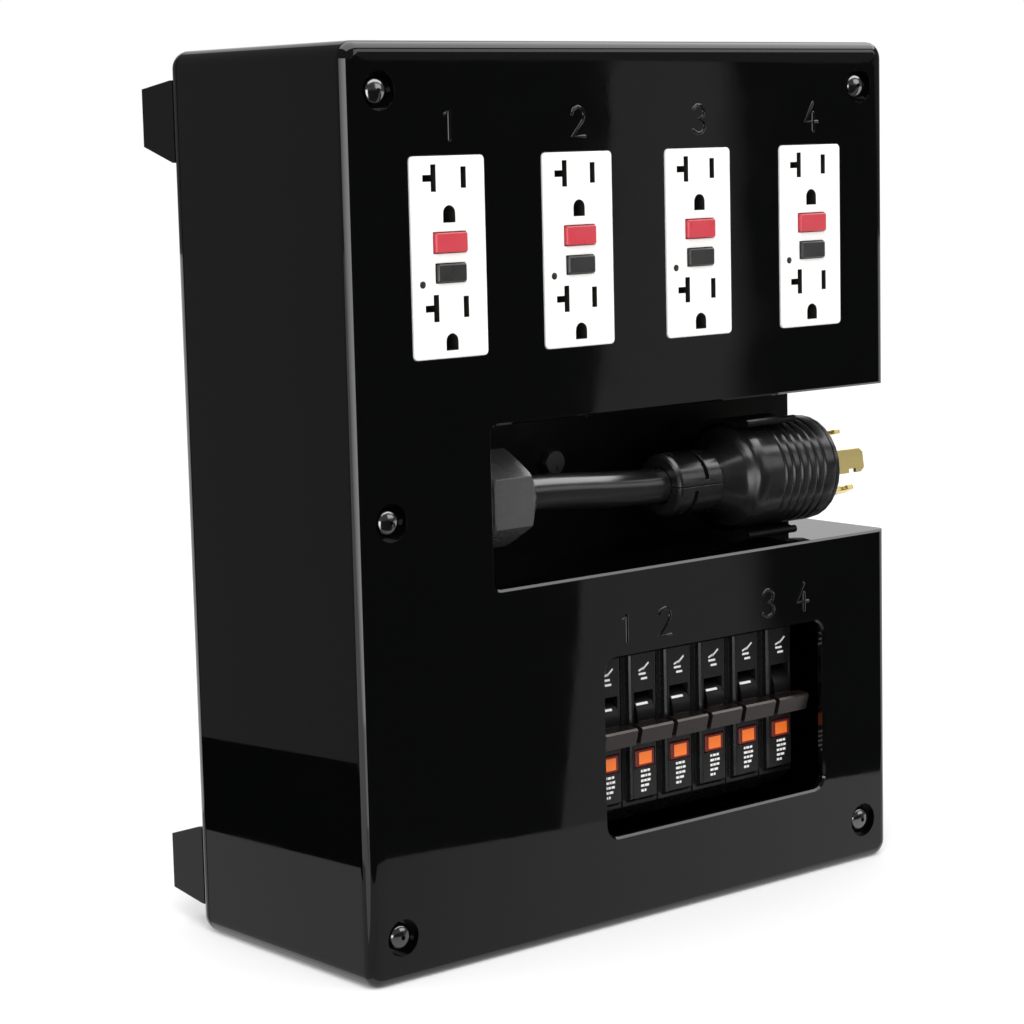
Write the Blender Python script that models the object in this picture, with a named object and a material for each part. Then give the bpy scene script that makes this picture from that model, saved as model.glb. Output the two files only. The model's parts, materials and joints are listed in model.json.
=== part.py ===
"""Portable power distribution box.

A moulded enclosure with a side recess for its supply plug, four GFCI receptacles,
six circuit breakers behind a window, and the bus bars and terminal bars inside.
Units are metres. The origin is the middle of the enclosure's underside,
+X to the right, -Y towards the front, +Z up.
"""

import math

import bmesh
import bpy
from mathutils import Matrix, Vector

# Enclosure
WIDTH = 0.252
DEPTH = 0.102
HEIGHT = 0.312
WALL = 0.003
CORNER_RADIUS = 0.006
FRONT_FILLET = 0.004
REAR_ROUND = 0.0055
REAR_ROUND_STEPS = 5
REAR_COVER_DEPTH = 0.006
LIP_CHAMFER = 0.0008
GAP = 0.0003
LAP = 0.001      # how far joined solids run into each other
REACH = 0.02     # how far cutters run past what they cut

FRONT = -DEPTH / 2
REAR = DEPTH / 2
SEAM = REAR - REAR_COVER_DEPTH
RIGHT = WIDTH / 2

# Tongue inside the seam, and the feet moulded on the rear cover
TONGUE_LENGTH = 0.004
TONGUE_THICKNESS = 0.0018
FOOT_WIDTH = 0.030
FOOT_HEIGHT = 0.0283
FOOT_DEPTH = 0.018
FOOT_SIDE_INSET = 0.0012
FOOT_END_INSET = 0.0098
FOOT_OUTER_SLOPE = 0.0026
FOOT_INNER_SLOPE = 0.0057

# Cover screws, their counterbores and the posts they run into
SCREW_INSET_X = 0.014
SCREW_INSET_Z = 0.016
SCREW_MIDDLE_Z = 0.156
COUNTERBORE_RADIUS = 0.0064
COUNTERBORE_DEPTH = 0.0034
BOSS_RADIUS = 0.009
BOSS_DEPTH = 0.008
SCREW_HEAD_RADIUS = 0.0047
SCREW_HEAD_HEIGHT = 0.003
SCREW_SHANK_RADIUS = 0.002
SCREW_LENGTH = 0.020
SOCKET_RADIUS = 0.0013
SOCKET_DEPTH = 0.0013
SCREW_DOME_ANGLES = (1.2, 0.85, 0.45)
POST_RADIUS = 0.0055
PILOT_EXTRA = 0.004

# Plug recess, open to the front and to the right
RECESS_LEFT = -0.0685
RECESS_BOTTOM = 0.128
RECESS_TOP = 0.184
RECESS_DEPTH = 0.052
RECESS_RADIUS = 0.0025
RECESS_RUNOUT = 0.060

# Receptacles
RECEPTACLE_COUNT = 4
RECEPTACLE_PITCH = 0.0568
RECEPTACLE_Z = 0.2415
FACE_WIDTH = 0.0313
FACE_HEIGHT = 0.0664
FACE_PROUD = 0.001
FACE_RADIUS = 0.0015
FACE_EDGE = 0.0005
HOUSING_WIDTH = 0.041
HOUSING_HEIGHT = 0.070
HOUSING_DEPTH = 0.032
STRAP_THICKNESS = 0.0015
STRAP_WIDTH = 0.039
STRAP_LENGTH = 0.104
STRAP_TAB_WIDTH = 0.020
STRAP_SHOULDER = 0.002
STRAP_HOLE_RADIUS = 0.0021
STRAP_HOLE_INSET = 0.006
BLADE_SLOT_SPACING = 0.0126
BLADE_SLOT_WIDTH = 0.0021
LINE_SLOT_HEIGHT = 0.0069
NEUTRAL_SLOT_HEIGHT = 0.0088
NEUTRAL_BAR_LENGTH = 0.0034
GROUND_HOLE_WIDTH = 0.0050
GROUND_HOLE_HEIGHT = 0.0056
SLOT_DEPTH = 0.009
# Heights below the top of the face
SLOT_DROPS = (0.0072, 0.0497)
GROUND_DROPS = (0.0190, 0.0610)
RESET_DROP = 0.0283
TEST_DROP = 0.0383
RESET_SIZE = (0.0134, 0.0065)
TEST_SIZE = (0.0120, 0.0060)
BUTTON_PROUD = 0.0014
BUTTON_LENGTH = 0.0046
BUTTON_WELL_DEPTH = 0.0056
BUTTON_RADIUS = 0.0006
BUTTON_EDGE = 0.0004

# Breaker window and breakers
WINDOW_X = 0.03575
WINDOW_Z = 0.06475
WINDOW_WIDTH = 0.110
WINDOW_HEIGHT = 0.0645
WINDOW_RADIUS = 0.005
BREAKER_COUNT = 6
BREAKER_PITCH = 0.0175
BREAKER_WIDTH = 0.0169
BREAKER_BOTTOM = 0.032
BREAKER_TOP = 0.112
BREAKER_BODY_Y = FRONT + 0.015
BREAKER_FACE_Y = FRONT + 0.012
BREAKER_BACK_Y = FRONT + 0.066
BREAKER_FACE_WIDTH = 0.0132
BREAKER_FACE_CHAMFER = 0.0009
BREAKER_FACE_BOTTOM = 0.041
BREAKER_TOE = 0.006
BREAKER_CHIN = 0.003
PIVOT_Y = FRONT + 0.019
PIVOT_Z = 0.071
DRUM_RADIUS = 0.0085
DRUM_WIDTH = 0.0086
PADDLE_WIDTH = 0.0154
NECK_INSET = 0.0004
# Sections of the handle's neck and paddle: (Y, Z) from the pivot
NECK_SECTION = ((-0.0060, -0.0060), (-0.0060, -0.0005), (-0.0110, -0.0022), (-0.0110, -0.0066))
PADDLE_SECTION = (
    (-0.0087, -0.0060), (-0.0093, -0.0014), (-0.0139, -0.0019), (-0.0147, -0.0027), (-0.0132, -0.0083),
)
WELL_WIDTH = DRUM_WIDTH + 0.0008
WELL_HEIGHT = 0.0185
WELL_DEPTH = 0.0165
INDICATOR_Z = 0.0557
INDICATOR_WIDTH = 0.0092
INDICATOR_HEIGHT = 0.0064
INDICATOR_DEPTH = 0.0014
INDICATOR_PROUD = 0.0004
INDICATOR_RADIUS = 0.0006

# Behind the breakers, and the terminal bars
BUS_THICKNESS = 0.002
BUS_HEIGHT = 0.012
BUS_CORNER = 0.001
BUS_Z = (0.052, 0.092)
BASE_THICKNESS = 0.004
BASE_MARGIN = 0.003
BASE_RIB_WIDTH = 0.010
TERMINAL_BAR_LENGTH = 0.060
TERMINAL_BAR_SECTION = 0.009
TERMINAL_BAR_X = -0.070
TERMINAL_BAR_Z = {"neutral_bar": 0.062, "ground_bar": 0.088}
TERMINAL_COUNT = 5
TERMINAL_RADIUS = 0.0022

# Supply cord: gland, cable, clamp, plug and its clip
CORD_Y = FRONT + 0.026
GLAND_Z = 0.1552
PLUG_Z = 0.1518
CABLE_RADIUS = 0.0066
GLAND_THREAD_RADIUS = 0.0115
GLAND_BORE_RADIUS = 0.0071
GLAND_FLANGE_RADIUS = 0.0150
GLAND_NUT_FLATS = 0.0302
NUT_START = -0.0590
NUT_HEX_END = -0.0414
NUT_END = -0.0357
NUT_CHAMFER = 0.0022
NUT_MOUTH = 0.0098
DOME_STEPS = 3
GLAND_NOSE_LENGTH = 0.009
GLAND_THREAD_STEP = 0.0015
LOCKNUT_THICKNESS = 0.005
CABLE_START = -0.086
CLAMP_START = 0.0318
CLAMP_RADIUS = 0.0118
UPPER_SLOT_START = 0.0129
LOWER_SLOT_START = 0.0074
CLAMP_SLOT_WIDTH = 0.0019
CLAMP_SLOT_DEPTH = 0.0022
CLAMP_EDGE = 0.0015
CABLE_IN_PLUG = 0.006
SHELL_START = 0.0543
SHELL_RADIUS = 0.0201
SHOULDER_X = 0.0664
# Bell-shaped throat: (distance from the shell's start, radius)
SHELL_THROAT = (
    (0.0, 0.0104), (0.0018, 0.0107), (0.0042, 0.0122), (0.0066, 0.0149), (0.0088, 0.0177), (0.0106, 0.0194),
)
PLUG_FACE_X = 0.1080
PLUG_FACE_THICKNESS = 0.003
PLUG_FACE_INSET = 0.0002
PLUG_FACE_EDGE = 0.001
RIB_START = 0.0784
RIB_COUNT = 6
RIB_PITCH = 0.0042
RIB_GROOVE = 0.0009
RIB_GROOVE_WIDTH = 0.0014
BLADE_LENGTH = 0.0205
BLADE_THICKNESS = 0.0016
BLADE_RING_RADIUS = 0.0114
BLADE_POCKET_DEPTH = 0.0015
BLADE_POINT = 0.002
NOTCH_FROM_TIP = 0.0085
NOTCH_LENGTH = 0.0038
NOTCH_DEPTH = 0.0016
BLADE_ANGLES = (172, 247, 77, 340)
BLADE_WIDTHS = (0.0092, 0.0078, 0.0078, 0.0078)
CLIP_LEFT = 0.064
CLIP_RIGHT = 0.0893
CLIP_INNER_RADIUS = 0.0206
CLIP_THICKNESS = 0.0014
CLIP_HALF_ANGLE = 112
CLIP_STEPS = 24
CLIP_LIP_REACH = 0.0050
CLIP_LIP_RISE = 0.0012
CLIP_BEAD_RADIUS = 0.0014
CLIP_PAD_INSET = 0.005
CLIP_PAD_HALF = 0.007
BOLT_X = 0.0014
BOLT_Z = 0.1615
BOLT_FLATS = 0.0085
BOLT_HEAD_HEIGHT = 0.0032
BOLT_SHANK_RADIUS = 0.0024
BOLT_LENGTH = 0.010
# Radii of the cone that crowns the bolt's head, over its corner radius
BOLT_CROWN_TOP = 0.82
BOLT_CROWN_BASE = 1.3

COLOURS = {
    "gloss_black": ((0.010, 0.011, 0.012), 0.16, 0.0),
    "breaker_black": ((0.022, 0.022, 0.024), 0.42, 0.0),
    "handle_black": ((0.035, 0.034, 0.035), 0.38, 0.0),
    "rubber_black": ((0.018, 0.018, 0.018), 0.55, 0.0),
    "nylon_black": ((0.028, 0.028, 0.029), 0.40, 0.0),
    "white": ((0.86, 0.85, 0.81), 0.32, 0.0),
    "red": ((0.70, 0.045, 0.06), 0.35, 0.0),
    "test_black": ((0.025, 0.025, 0.025), 0.35, 0.0),
    "orange": ((0.95, 0.22, 0.03), 0.25, 0.0),
    "steel": ((0.62, 0.62, 0.63), 0.28, 1.0),
    "brass": ((0.78, 0.60, 0.27), 0.26, 1.0),
    "copper": ((0.80, 0.42, 0.28), 0.30, 1.0),
}


def clear_scene():
    for old in list(bpy.data.objects):
        bpy.data.objects.remove(old)


def make_material(name):
    colour, roughness, metallic = COLOURS[name]
    material = bpy.data.materials.new(name)
    material.use_nodes = True
    shader = material.node_tree.nodes["Principled BSDF"]
    shader.inputs["Base Color"].default_value = (*colour, 1.0)
    shader.inputs["Roughness"].default_value = roughness
    shader.inputs["Metallic"].default_value = metallic
    return material


# ---------------------------------------------------------------- solids


def blank(bm, name="blank"):
    """Turns a bmesh into a scene object with its faces pointing out."""
    bmesh.ops.recalc_face_normals(bm, faces=bm.faces)
    if bm.calc_volume(signed=True) < 0:
        bmesh.ops.reverse_faces(bm, faces=bm.faces)
    mesh = bpy.data.meshes.new(name)
    bm.to_mesh(mesh)
    bm.free()
    part = bpy.data.objects.new(name, mesh)
    bpy.context.scene.collection.objects.link(part)
    return part


def point_on(axis, along, u, v):
    """Axis X takes (y, z) outlines, Y takes (x, z) and Z takes (x, y)."""
    if axis == "X":
        return (along, u, v)
    if axis == "Y":
        return (u, along, v)
    return (u, v, along)


def ring_of(bm, axis, along, outline):
    return [bm.verts.new(point_on(axis, along, u, v)) for u, v in outline]


def loft(axis, sections):
    """A solid through outlines of equal length: sections are (position, outline)."""
    bm = bmesh.new()
    rings = [ring_of(bm, axis, along, outline) for along, outline in sections]
    bm.faces.new(rings[0])
    bm.faces.new(rings[-1])
    for ring, following in zip(rings, rings[1:]):
        for i in range(len(ring)):
            j = (i + 1) % len(ring)
            bm.faces.new((ring[i], ring[j], following[j], following[i]))
    return blank(bm)


def prism(axis, outline, low, high):
    return loft(axis, [(low, outline), (high, outline)])


def block(low, high):
    (x0, y0, z0), (x1, y1, z1) = low, high
    return prism("Z", [(x0, y0), (x1, y0), (x1, y1), (x0, y1)], z0, z1)


def rectangle(width, height, centre=(0.0, 0.0)):
    cx, cz = centre
    w, h = width / 2, height / 2
    return [(cx - w, cz - h), (cx + w, cz - h), (cx + w, cz + h), (cx - w, cz + h)]


def rounded_rectangle(width, height, radius, centre=(0.0, 0.0), segments=4):
    cx, cz = centre
    w, h = width / 2 - radius, height / 2 - radius
    outline = []
    for k, (sx, sz) in enumerate(((1, -1), (1, 1), (-1, 1), (-1, -1))):
        for i in range(segments + 1):
            angle = math.radians(-90 + 90 * k + 90 * i / segments)
            outline.append((cx + sx * w + radius * math.cos(angle), cz + sz * h + radius * math.sin(angle)))
    return outline


def circle(radius, centre=(0.0, 0.0), segments=16, start=0.0):
    cx, cz = centre
    angles = [start + math.tau * i / segments for i in range(segments)]
    return [(cx + radius * math.cos(a), cz + radius * math.sin(a)) for a in angles]


def arc(radius, first, last, segments, centre=(0.0, 0.0)):
    """Points on an arc between two angles in degrees."""
    angles = [math.radians(first + (last - first) * i / segments) for i in range(segments + 1)]
    return [(centre[0] + radius * math.cos(a), centre[1] + radius * math.sin(a)) for a in angles]


def lathe(axis, profile, centre=(0.0, 0.0), segments=24, bored=False):
    """A turned solid: profile is (position along the axis, radius); a bored one is a closed ring."""
    bm = bmesh.new()
    rings = []
    for along, radius in profile:
        outline = circle(radius, centre, segments) if radius else [centre]
        rings.append(ring_of(bm, axis, along, outline))
    pairs = list(zip(rings, rings[1:]))
    if bored:
        pairs.append((rings[-1], rings[0]))
    for ring, following in pairs:
        for i in range(segments):
            j = (i + 1) % segments
            corners = [ring[i % len(ring)], ring[j % len(ring)]]
            corners += [following[j % len(following)], following[i % len(following)]]
            bm.faces.new(list(dict.fromkeys(corners)))
    return blank(bm)


def combine(target, other, operation):
    """Replaces target's mesh with its Boolean with other, and uses other up."""
    modifier = target.modifiers.new("combine", "BOOLEAN")
    modifier.operation = operation
    modifier.solver = "EXACT"
    modifier.object = other
    bpy.context.view_layer.update()
    evaluated = target.evaluated_get(bpy.context.evaluated_depsgraph_get())
    result = bpy.data.meshes.new_from_object(evaluated)
    target.modifiers.remove(modifier)
    target.data = result
    bpy.data.objects.remove(other)
    return target


def cut(target, *cutters):
    for cutter in cutters:
        combine(target, cutter, "DIFFERENCE")
    return target


def join(target, *others):
    for other in others:
        combine(target, other, "UNION")
    return target


def round_edges(part, width, segments, wanted):
    """Bevels the edges whose middle point and direction the test accepts."""
    bm = bmesh.new()
    bm.from_mesh(part.data)
    edges = []
    for edge in bm.edges:
        a, b = edge.verts
        if wanted((a.co + b.co) / 2, (b.co - a.co).normalized()):
            edges.append(edge)
    bmesh.ops.bevel(bm, geom=edges, offset=width, segments=segments, affect="EDGES", profile=0.5)
    bm.to_mesh(part.data)
    bm.free()
    return part


def tidy(part):
    """Merges flat neighbours, so that a face holds no stray edges."""
    bm = bmesh.new()
    bm.from_mesh(part.data)
    bmesh.ops.remove_doubles(bm, verts=bm.verts, dist=0.000002)
    bmesh.ops.dissolve_limit(bm, angle_limit=math.radians(0.2), verts=bm.verts, edges=bm.edges)
    bm.to_mesh(part.data)
    bm.free()
    return part


def finish(name, part, material, location=(0.0, 0.0, 0.0)):
    """Names a finished solid, gives it its material and puts it in its place."""
    part.name = name
    part.data.name = name
    part.data.materials.clear()
    part.data.materials.append(material)
    part.data.shade_smooth()
    part.data.set_sharp_from_angle(angle=math.radians(35))
    part.location = location
    return part


def finish_row(kind, part, material, places):
    """Finishes a solid as kind_1 at the first place, and puts a copy at each of the others."""
    finish(f"{kind}_1", part, material, places[0])
    for i, place in enumerate(places[1:], start=2):
        twin = bpy.data.objects.new(f"{kind}_{i}", part.data)
        bpy.context.scene.collection.objects.link(twin)
        twin.location = place


# ---------------------------------------------------------------- enclosure


def screw_places():
    x, z = RIGHT - SCREW_INSET_X, SCREW_INSET_Z
    return [(-x, z), (x, z), (-x, SCREW_MIDDLE_Z), (-x, HEIGHT - z), (x, HEIGHT - z)]


def receptacle_places():
    middle = (RECEPTACLE_COUNT - 1) / 2
    return [(RECEPTACLE_PITCH * (i - middle), RECEPTACLE_Z) for i in range(RECEPTACLE_COUNT)]


def breaker_places():
    middle = (BREAKER_COUNT - 1) / 2
    return [WINDOW_X + BREAKER_PITCH * (i - middle) for i in range(BREAKER_COUNT)]


def lipped_cutter(width, height, radius, centre, depth):
    """A window cutter whose front edge leaves a small chamfer."""
    grow = LIP_CHAMFER + LAP
    wide = rounded_rectangle(width + 2 * grow, height + 2 * grow, radius + grow, centre)
    plain = rounded_rectangle(width, height, radius, centre)
    return loft("Y", [(FRONT - LAP, wide), (FRONT + LIP_CHAMFER, plain), (FRONT + depth, plain)])


def recess_cutter(margin, y_end, lipped):
    """The recess as a solid that runs out past the right side; margin grows it by a wall."""
    far = RIGHT + RECESS_RUNOUT
    width = far - RECESS_LEFT + margin
    height = RECESS_TOP - RECESS_BOTTOM + 2 * margin
    centre = (far - width / 2, (RECESS_TOP + RECESS_BOTTOM) / 2)
    if lipped:
        return lipped_cutter(width, height, RECESS_RADIUS, centre, y_end - FRONT)
    outline = rounded_rectangle(width, height, RECESS_RADIUS + margin, centre)
    return prism("Y", outline, FRONT - REACH, y_end)


def enclosure_cover():
    middle = (0.0, HEIGHT / 2)
    shell = prism("Y", rounded_rectangle(WIDTH, HEIGHT, CORNER_RADIUS, middle, 6), FRONT, SEAM - GAP)
    round_edges(shell, FRONT_FILLET, 5, lambda point, way: abs(point.y - FRONT) < 1e-5)
    inside = rounded_rectangle(WIDTH - 2 * WALL, HEIGHT - 2 * WALL, CORNER_RADIUS - WALL, middle)
    cavity = prism("Y", inside, FRONT + WALL, REAR)
    cut(cavity, recess_cutter(WALL, FRONT + RECESS_DEPTH + WALL, False))
    cut(shell, cavity)
    for place in screw_places():
        join(shell, prism("Y", circle(BOSS_RADIUS, place, 20), FRONT + WALL / 2, FRONT + BOSS_DEPTH))
    cut(shell, recess_cutter(0.0, FRONT + RECESS_DEPTH, True))
    window = (WINDOW_X, WINDOW_Z)
    cut(shell, lipped_cutter(WINDOW_WIDTH, WINDOW_HEIGHT, WINDOW_RADIUS, window, 2 * WALL))
    for place in receptacle_places():
        hole = rounded_rectangle(FACE_WIDTH + 2 * GAP, FACE_HEIGHT + 2 * GAP, FACE_RADIUS + GAP, place, 3)
        cut(shell, prism("Y", hole, FRONT - REACH, FRONT + 2 * WALL))
    for place in screw_places():
        floor = FRONT + COUNTERBORE_DEPTH
        cut(shell, prism("Y", circle(COUNTERBORE_RADIUS, place, 24), FRONT - REACH, floor))
        cut(shell, prism("Y", circle(SCREW_SHANK_RADIUS + 2 * GAP, place, 12), FRONT, FRONT + REACH))
    gland_hole = circle(GLAND_THREAD_RADIUS + GAP, (CORD_Y, GLAND_Z), 24)
    cut(shell, prism("X", gland_hole, RECESS_LEFT - 2 * WALL, RECESS_LEFT + WALL))
    bolt_hole = circle(BOLT_SHANK_RADIUS + GAP, (BOLT_X, BOLT_Z), 12)
    back = FRONT + RECESS_DEPTH
    cut(shell, prism("Y", bolt_hole, back - WALL, back + 2 * WALL))
    return tidy(shell)


def foot_block(side, top):
    """A drafted foot at one corner of the back; side and top are -1 or 1."""
    outer_x = RIGHT - FOOT_SIDE_INSET
    inner_x = outer_x - FOOT_WIDTH
    low, high = FOOT_END_INSET, FOOT_END_INSET + FOOT_HEIGHT
    root = [(inner_x, low), (outer_x, low), (outer_x, high), (inner_x, high)]
    low, high = low + FOOT_OUTER_SLOPE, high - FOOT_INNER_SLOPE
    tip_inner = inner_x + FOOT_INNER_SLOPE
    tip = [(tip_inner, low), (outer_x, low), (outer_x, high), (tip_inner, high)]

    def placed(outline):
        return [(side * x, z if top < 0 else HEIGHT - z) for x, z in outline]

    sections = [(REAR - WALL / 2, placed(root)), (REAR, placed(root)), (REAR + FOOT_DEPTH, placed(tip))]
    return loft("Y", sections)


def rear_cover():
    middle = (0.0, HEIGHT / 2)

    def outline(inset):
        radius = max(CORNER_RADIUS - inset, GAP)
        return rounded_rectangle(WIDTH - 2 * inset, HEIGHT - 2 * inset, radius, middle, 6)

    sections = [(SEAM, outline(0.0))]
    for i in range(REAR_ROUND_STEPS + 1):
        angle = math.pi / 2 * i / REAR_ROUND_STEPS
        y = REAR - REAR_ROUND * (1 - math.sin(angle))
        sections.append((y, outline(REAR_ROUND * (1 - math.cos(angle)))))
    pan = loft("Y", sections)
    inside = WALL + GAP + TONGUE_THICKNESS
    join(pan, prism("Y", outline(WALL + GAP), SEAM - TONGUE_LENGTH, SEAM + WALL / 2))
    cut(pan, prism("Y", outline(inside), SEAM - 2 * TONGUE_LENGTH, REAR - WALL))
    for x, z in screw_places():
        post = prism("Y", circle(POST_RADIUS, (x, z), 12), FRONT + BOSS_DEPTH + GAP, REAR - WALL / 2)
        join(pan, post)
        pilot = circle(SCREW_SHANK_RADIUS + 2 * GAP, (x, z), 8)
        cut(pan, prism("Y", pilot, FRONT, FRONT + COUNTERBORE_DEPTH + SCREW_LENGTH + PILOT_EXTRA))
    for side in (-1, 1):
        for top in (-1, 1):
            join(pan, foot_block(side, top))
    return tidy(pan)


def cover_screw():
    """Button head towards -Y; its underside is at the local origin."""
    height, radius = SCREW_HEAD_HEIGHT, SCREW_HEAD_RADIUS
    socket_end = SOCKET_DEPTH - height
    profile = [(socket_end, 0.0), (socket_end, SOCKET_RADIUS), (-height, SOCKET_RADIUS)]
    profile += [(-height * math.sin(a), radius * math.cos(a)) for a in SCREW_DOME_ANGLES]
    profile += [(0.0, radius), (0.0, SCREW_SHANK_RADIUS)]
    profile += [(SCREW_LENGTH, SCREW_SHANK_RADIUS), (SCREW_LENGTH, 0.0)]
    return lathe("Y", profile, segments=12)


# ---------------------------------------------------------------- receptacles


def from_top(drop):
    """Height of a feature on a receptacle's face, measured from the face's centre."""
    return FACE_HEIGHT / 2 - drop


def receptacle_body():
    """Face and housing in one; the local origin is the cover's front plane at the face's centre."""
    face_back = WALL + 3 * GAP + STRAP_THICKNESS
    outline = rounded_rectangle(FACE_WIDTH, FACE_HEIGHT, FACE_RADIUS, segments=3)
    face = prism("Y", outline, -FACE_PROUD, face_back + WALL)
    round_edges(face, FACE_EDGE, 1, lambda point, way: abs(point.y + FACE_PROUD) < 1e-5)
    housing = prism("Y", rectangle(HOUSING_WIDTH, HOUSING_HEIGHT), face_back, face_back + HOUSING_DEPTH)
    body = join(face, housing)
    front = -FACE_PROUD - LAP
    slot_end = -FACE_PROUD + SLOT_DEPTH
    half = BLADE_SLOT_SPACING / 2
    for drop in SLOT_DROPS:
        z = from_top(drop)
        line = rectangle(BLADE_SLOT_WIDTH, LINE_SLOT_HEIGHT, (half, z))
        w, h, b = BLADE_SLOT_WIDTH / 2, NEUTRAL_SLOT_HEIGHT / 2, NEUTRAL_BAR_LENGTH
        tee = [(w, -h), (w, h), (-w, h), (-w, w), (-w - b, w), (-w - b, -w), (-w, -w), (-w, -h)]
        neutral = [(x - half, z + dz) for x, dz in tee]
        cut(body, prism("Y", line, front, slot_end), prism("Y", neutral, front, slot_end))
    for drop in GROUND_DROPS:
        z = from_top(drop)
        radius = GROUND_HOLE_WIDTH / 2
        crown = arc(radius, 0, 180, 8, (0.0, z + GROUND_HOLE_HEIGHT / 2 - radius))
        bottom = z - GROUND_HOLE_HEIGHT / 2
        hole = crown + [(-radius, bottom), (radius, bottom)]
        cut(body, prism("Y", hole, front, slot_end))
    for drop, (width, height) in ((RESET_DROP, RESET_SIZE), (TEST_DROP, TEST_SIZE)):
        well = rectangle(width + 2 * GAP, height + 2 * GAP, (0.0, from_top(drop)))
        cut(body, prism("Y", well, front, -FACE_PROUD + BUTTON_WELL_DEPTH))
    return tidy(body)


def receptacle_strap():
    """Mounting strap behind the cover; the local origin matches the receptacle's."""
    half, tab = STRAP_WIDTH / 2, STRAP_TAB_WIDTH / 2
    shoulder, end = HOUSING_HEIGHT / 2 + STRAP_SHOULDER, STRAP_LENGTH / 2
    right = [(half, -shoulder), (half, shoulder), (tab, shoulder), (tab, end)]
    left = [(-x, -z) for x, z in right]
    outline = [(tab, -end), (tab, -shoulder)] + right + [(-tab, end), (-tab, shoulder)] + left
    front = WALL + GAP
    strap = prism("Y", outline, front, front + STRAP_THICKNESS)
    window = rectangle(FACE_WIDTH + 2 * GAP, FACE_HEIGHT + 2 * GAP)
    cut(strap, prism("Y", window, 0.0, REACH))
    for sign in (-1, 1):
        screw_hole = circle(STRAP_HOLE_RADIUS, (0.0, sign * (end - STRAP_HOLE_INSET)), 12)
        cut(strap, prism("Y", screw_hole, 0.0, REACH))
    return tidy(strap)


def push_button(size):
    """A button whose local origin is on the receptacle's face plane."""
    width, height = size
    shrink = 2 * BUTTON_EDGE
    outline = rounded_rectangle(width, height, BUTTON_RADIUS, segments=2)
    inset = rounded_rectangle(width - shrink, height - shrink, BUTTON_RADIUS / 2, segments=2)
    back = BUTTON_LENGTH - BUTTON_PROUD
    return loft("Y", [(-BUTTON_PROUD, inset), (-BUTTON_PROUD + BUTTON_EDGE, outline), (back, outline)])


# ---------------------------------------------------------------- breakers


def breaker_body():
    """Case with a raised face and a well for the handle's drum, in the enclosure's Y and Z."""
    low, high = BREAKER_BOTTOM, BREAKER_TOP
    case = [(BREAKER_BODY_Y + BREAKER_TOE, low), (BREAKER_BACK_Y, low), (BREAKER_BACK_Y, high)]
    case += [(BREAKER_BODY_Y, high), (BREAKER_BODY_Y, BREAKER_FACE_BOTTOM - BREAKER_CHIN)]
    half = BREAKER_WIDTH / 2
    body = prism("X", case, -half, half)
    lapped = BREAKER_BODY_Y + LAP
    face = [(lapped, BREAKER_FACE_BOTTOM - BREAKER_CHIN + LAP), (BREAKER_FACE_Y, BREAKER_FACE_BOTTOM)]
    face += [(BREAKER_FACE_Y, high), (lapped, high)]
    raised = prism("X", face, -BREAKER_FACE_WIDTH / 2, BREAKER_FACE_WIDTH / 2)
    round_edges(raised, BREAKER_FACE_CHAMFER, 1,
                lambda point, way: abs(point.y - BREAKER_FACE_Y) < 1e-5 and abs(way.z) > 0.9)
    join(body, raised)
    w = WELL_WIDTH / 2
    well_low, well_high = PIVOT_Z - WELL_HEIGHT / 2, PIVOT_Z + WELL_HEIGHT / 2
    cut(body, block((-w, FRONT, well_low), (w, BREAKER_FACE_Y + WELL_DEPTH, well_high)))
    w = INDICATOR_WIDTH / 2 + GAP
    h = INDICATOR_HEIGHT / 2 + GAP
    pocket_end = BREAKER_FACE_Y + INDICATOR_DEPTH + GAP
    cut(body, block((-w, FRONT, INDICATOR_Z - h), (w, pocket_end, INDICATOR_Z + h)))
    return tidy(body)


def breaker_handle():
    """Drum and paddle; the local origin is the pivot, and the paddle points forwards and down."""
    drum = prism("X", circle(DRUM_RADIUS, segments=20), -DRUM_WIDTH / 2, DRUM_WIDTH / 2)
    neck_half, paddle_half = DRUM_WIDTH / 2 - NECK_INSET, PADDLE_WIDTH / 2
    join(drum, prism("X", NECK_SECTION, -neck_half, neck_half))
    join(drum, prism("X", PADDLE_SECTION, -paddle_half, paddle_half))
    return tidy(drum)


def indicator_window():
    """Trip indicator lens, slightly proud of the breaker's face; the local origin is on the face."""
    width, height = INDICATOR_WIDTH - 2 * INDICATOR_PROUD, INDICATOR_HEIGHT - 2 * INDICATOR_PROUD
    outline = rounded_rectangle(INDICATOR_WIDTH, INDICATOR_HEIGHT, INDICATOR_RADIUS, segments=2)
    inset = rounded_rectangle(width, height, INDICATOR_RADIUS / 2, segments=2)
    return loft("Y", [(-INDICATOR_PROUD, inset), (0.0, outline), (INDICATOR_DEPTH, outline)])


def breaker_base():
    """Insulating plate behind the bus bars, held off the rear cover by two ribs."""
    front = BREAKER_BACK_Y + BUS_THICKNESS + 2 * GAP
    back = front + BASE_THICKNESS
    half = BREAKER_PITCH * BREAKER_COUNT / 2 + BASE_MARGIN
    left, right = WINDOW_X - half, WINDOW_X + half
    base = block((left, front, BREAKER_BOTTOM), (right, back, BREAKER_TOP))
    for x0 in (left, right - BASE_RIB_WIDTH):
        x1, rib_end = x0 + BASE_RIB_WIDTH, REAR - WALL - GAP
        join(base, block((x0, back - LAP, BREAKER_BOTTOM), (x1, rib_end, BREAKER_TOP)))
    return tidy(base)


def bus_bar():
    half = BREAKER_PITCH * BREAKER_COUNT / 2
    outline = rounded_rectangle(2 * half, BUS_HEIGHT, BUS_CORNER, segments=1)
    return prism("Y", outline, 0.0, BUS_THICKNESS)


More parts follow.
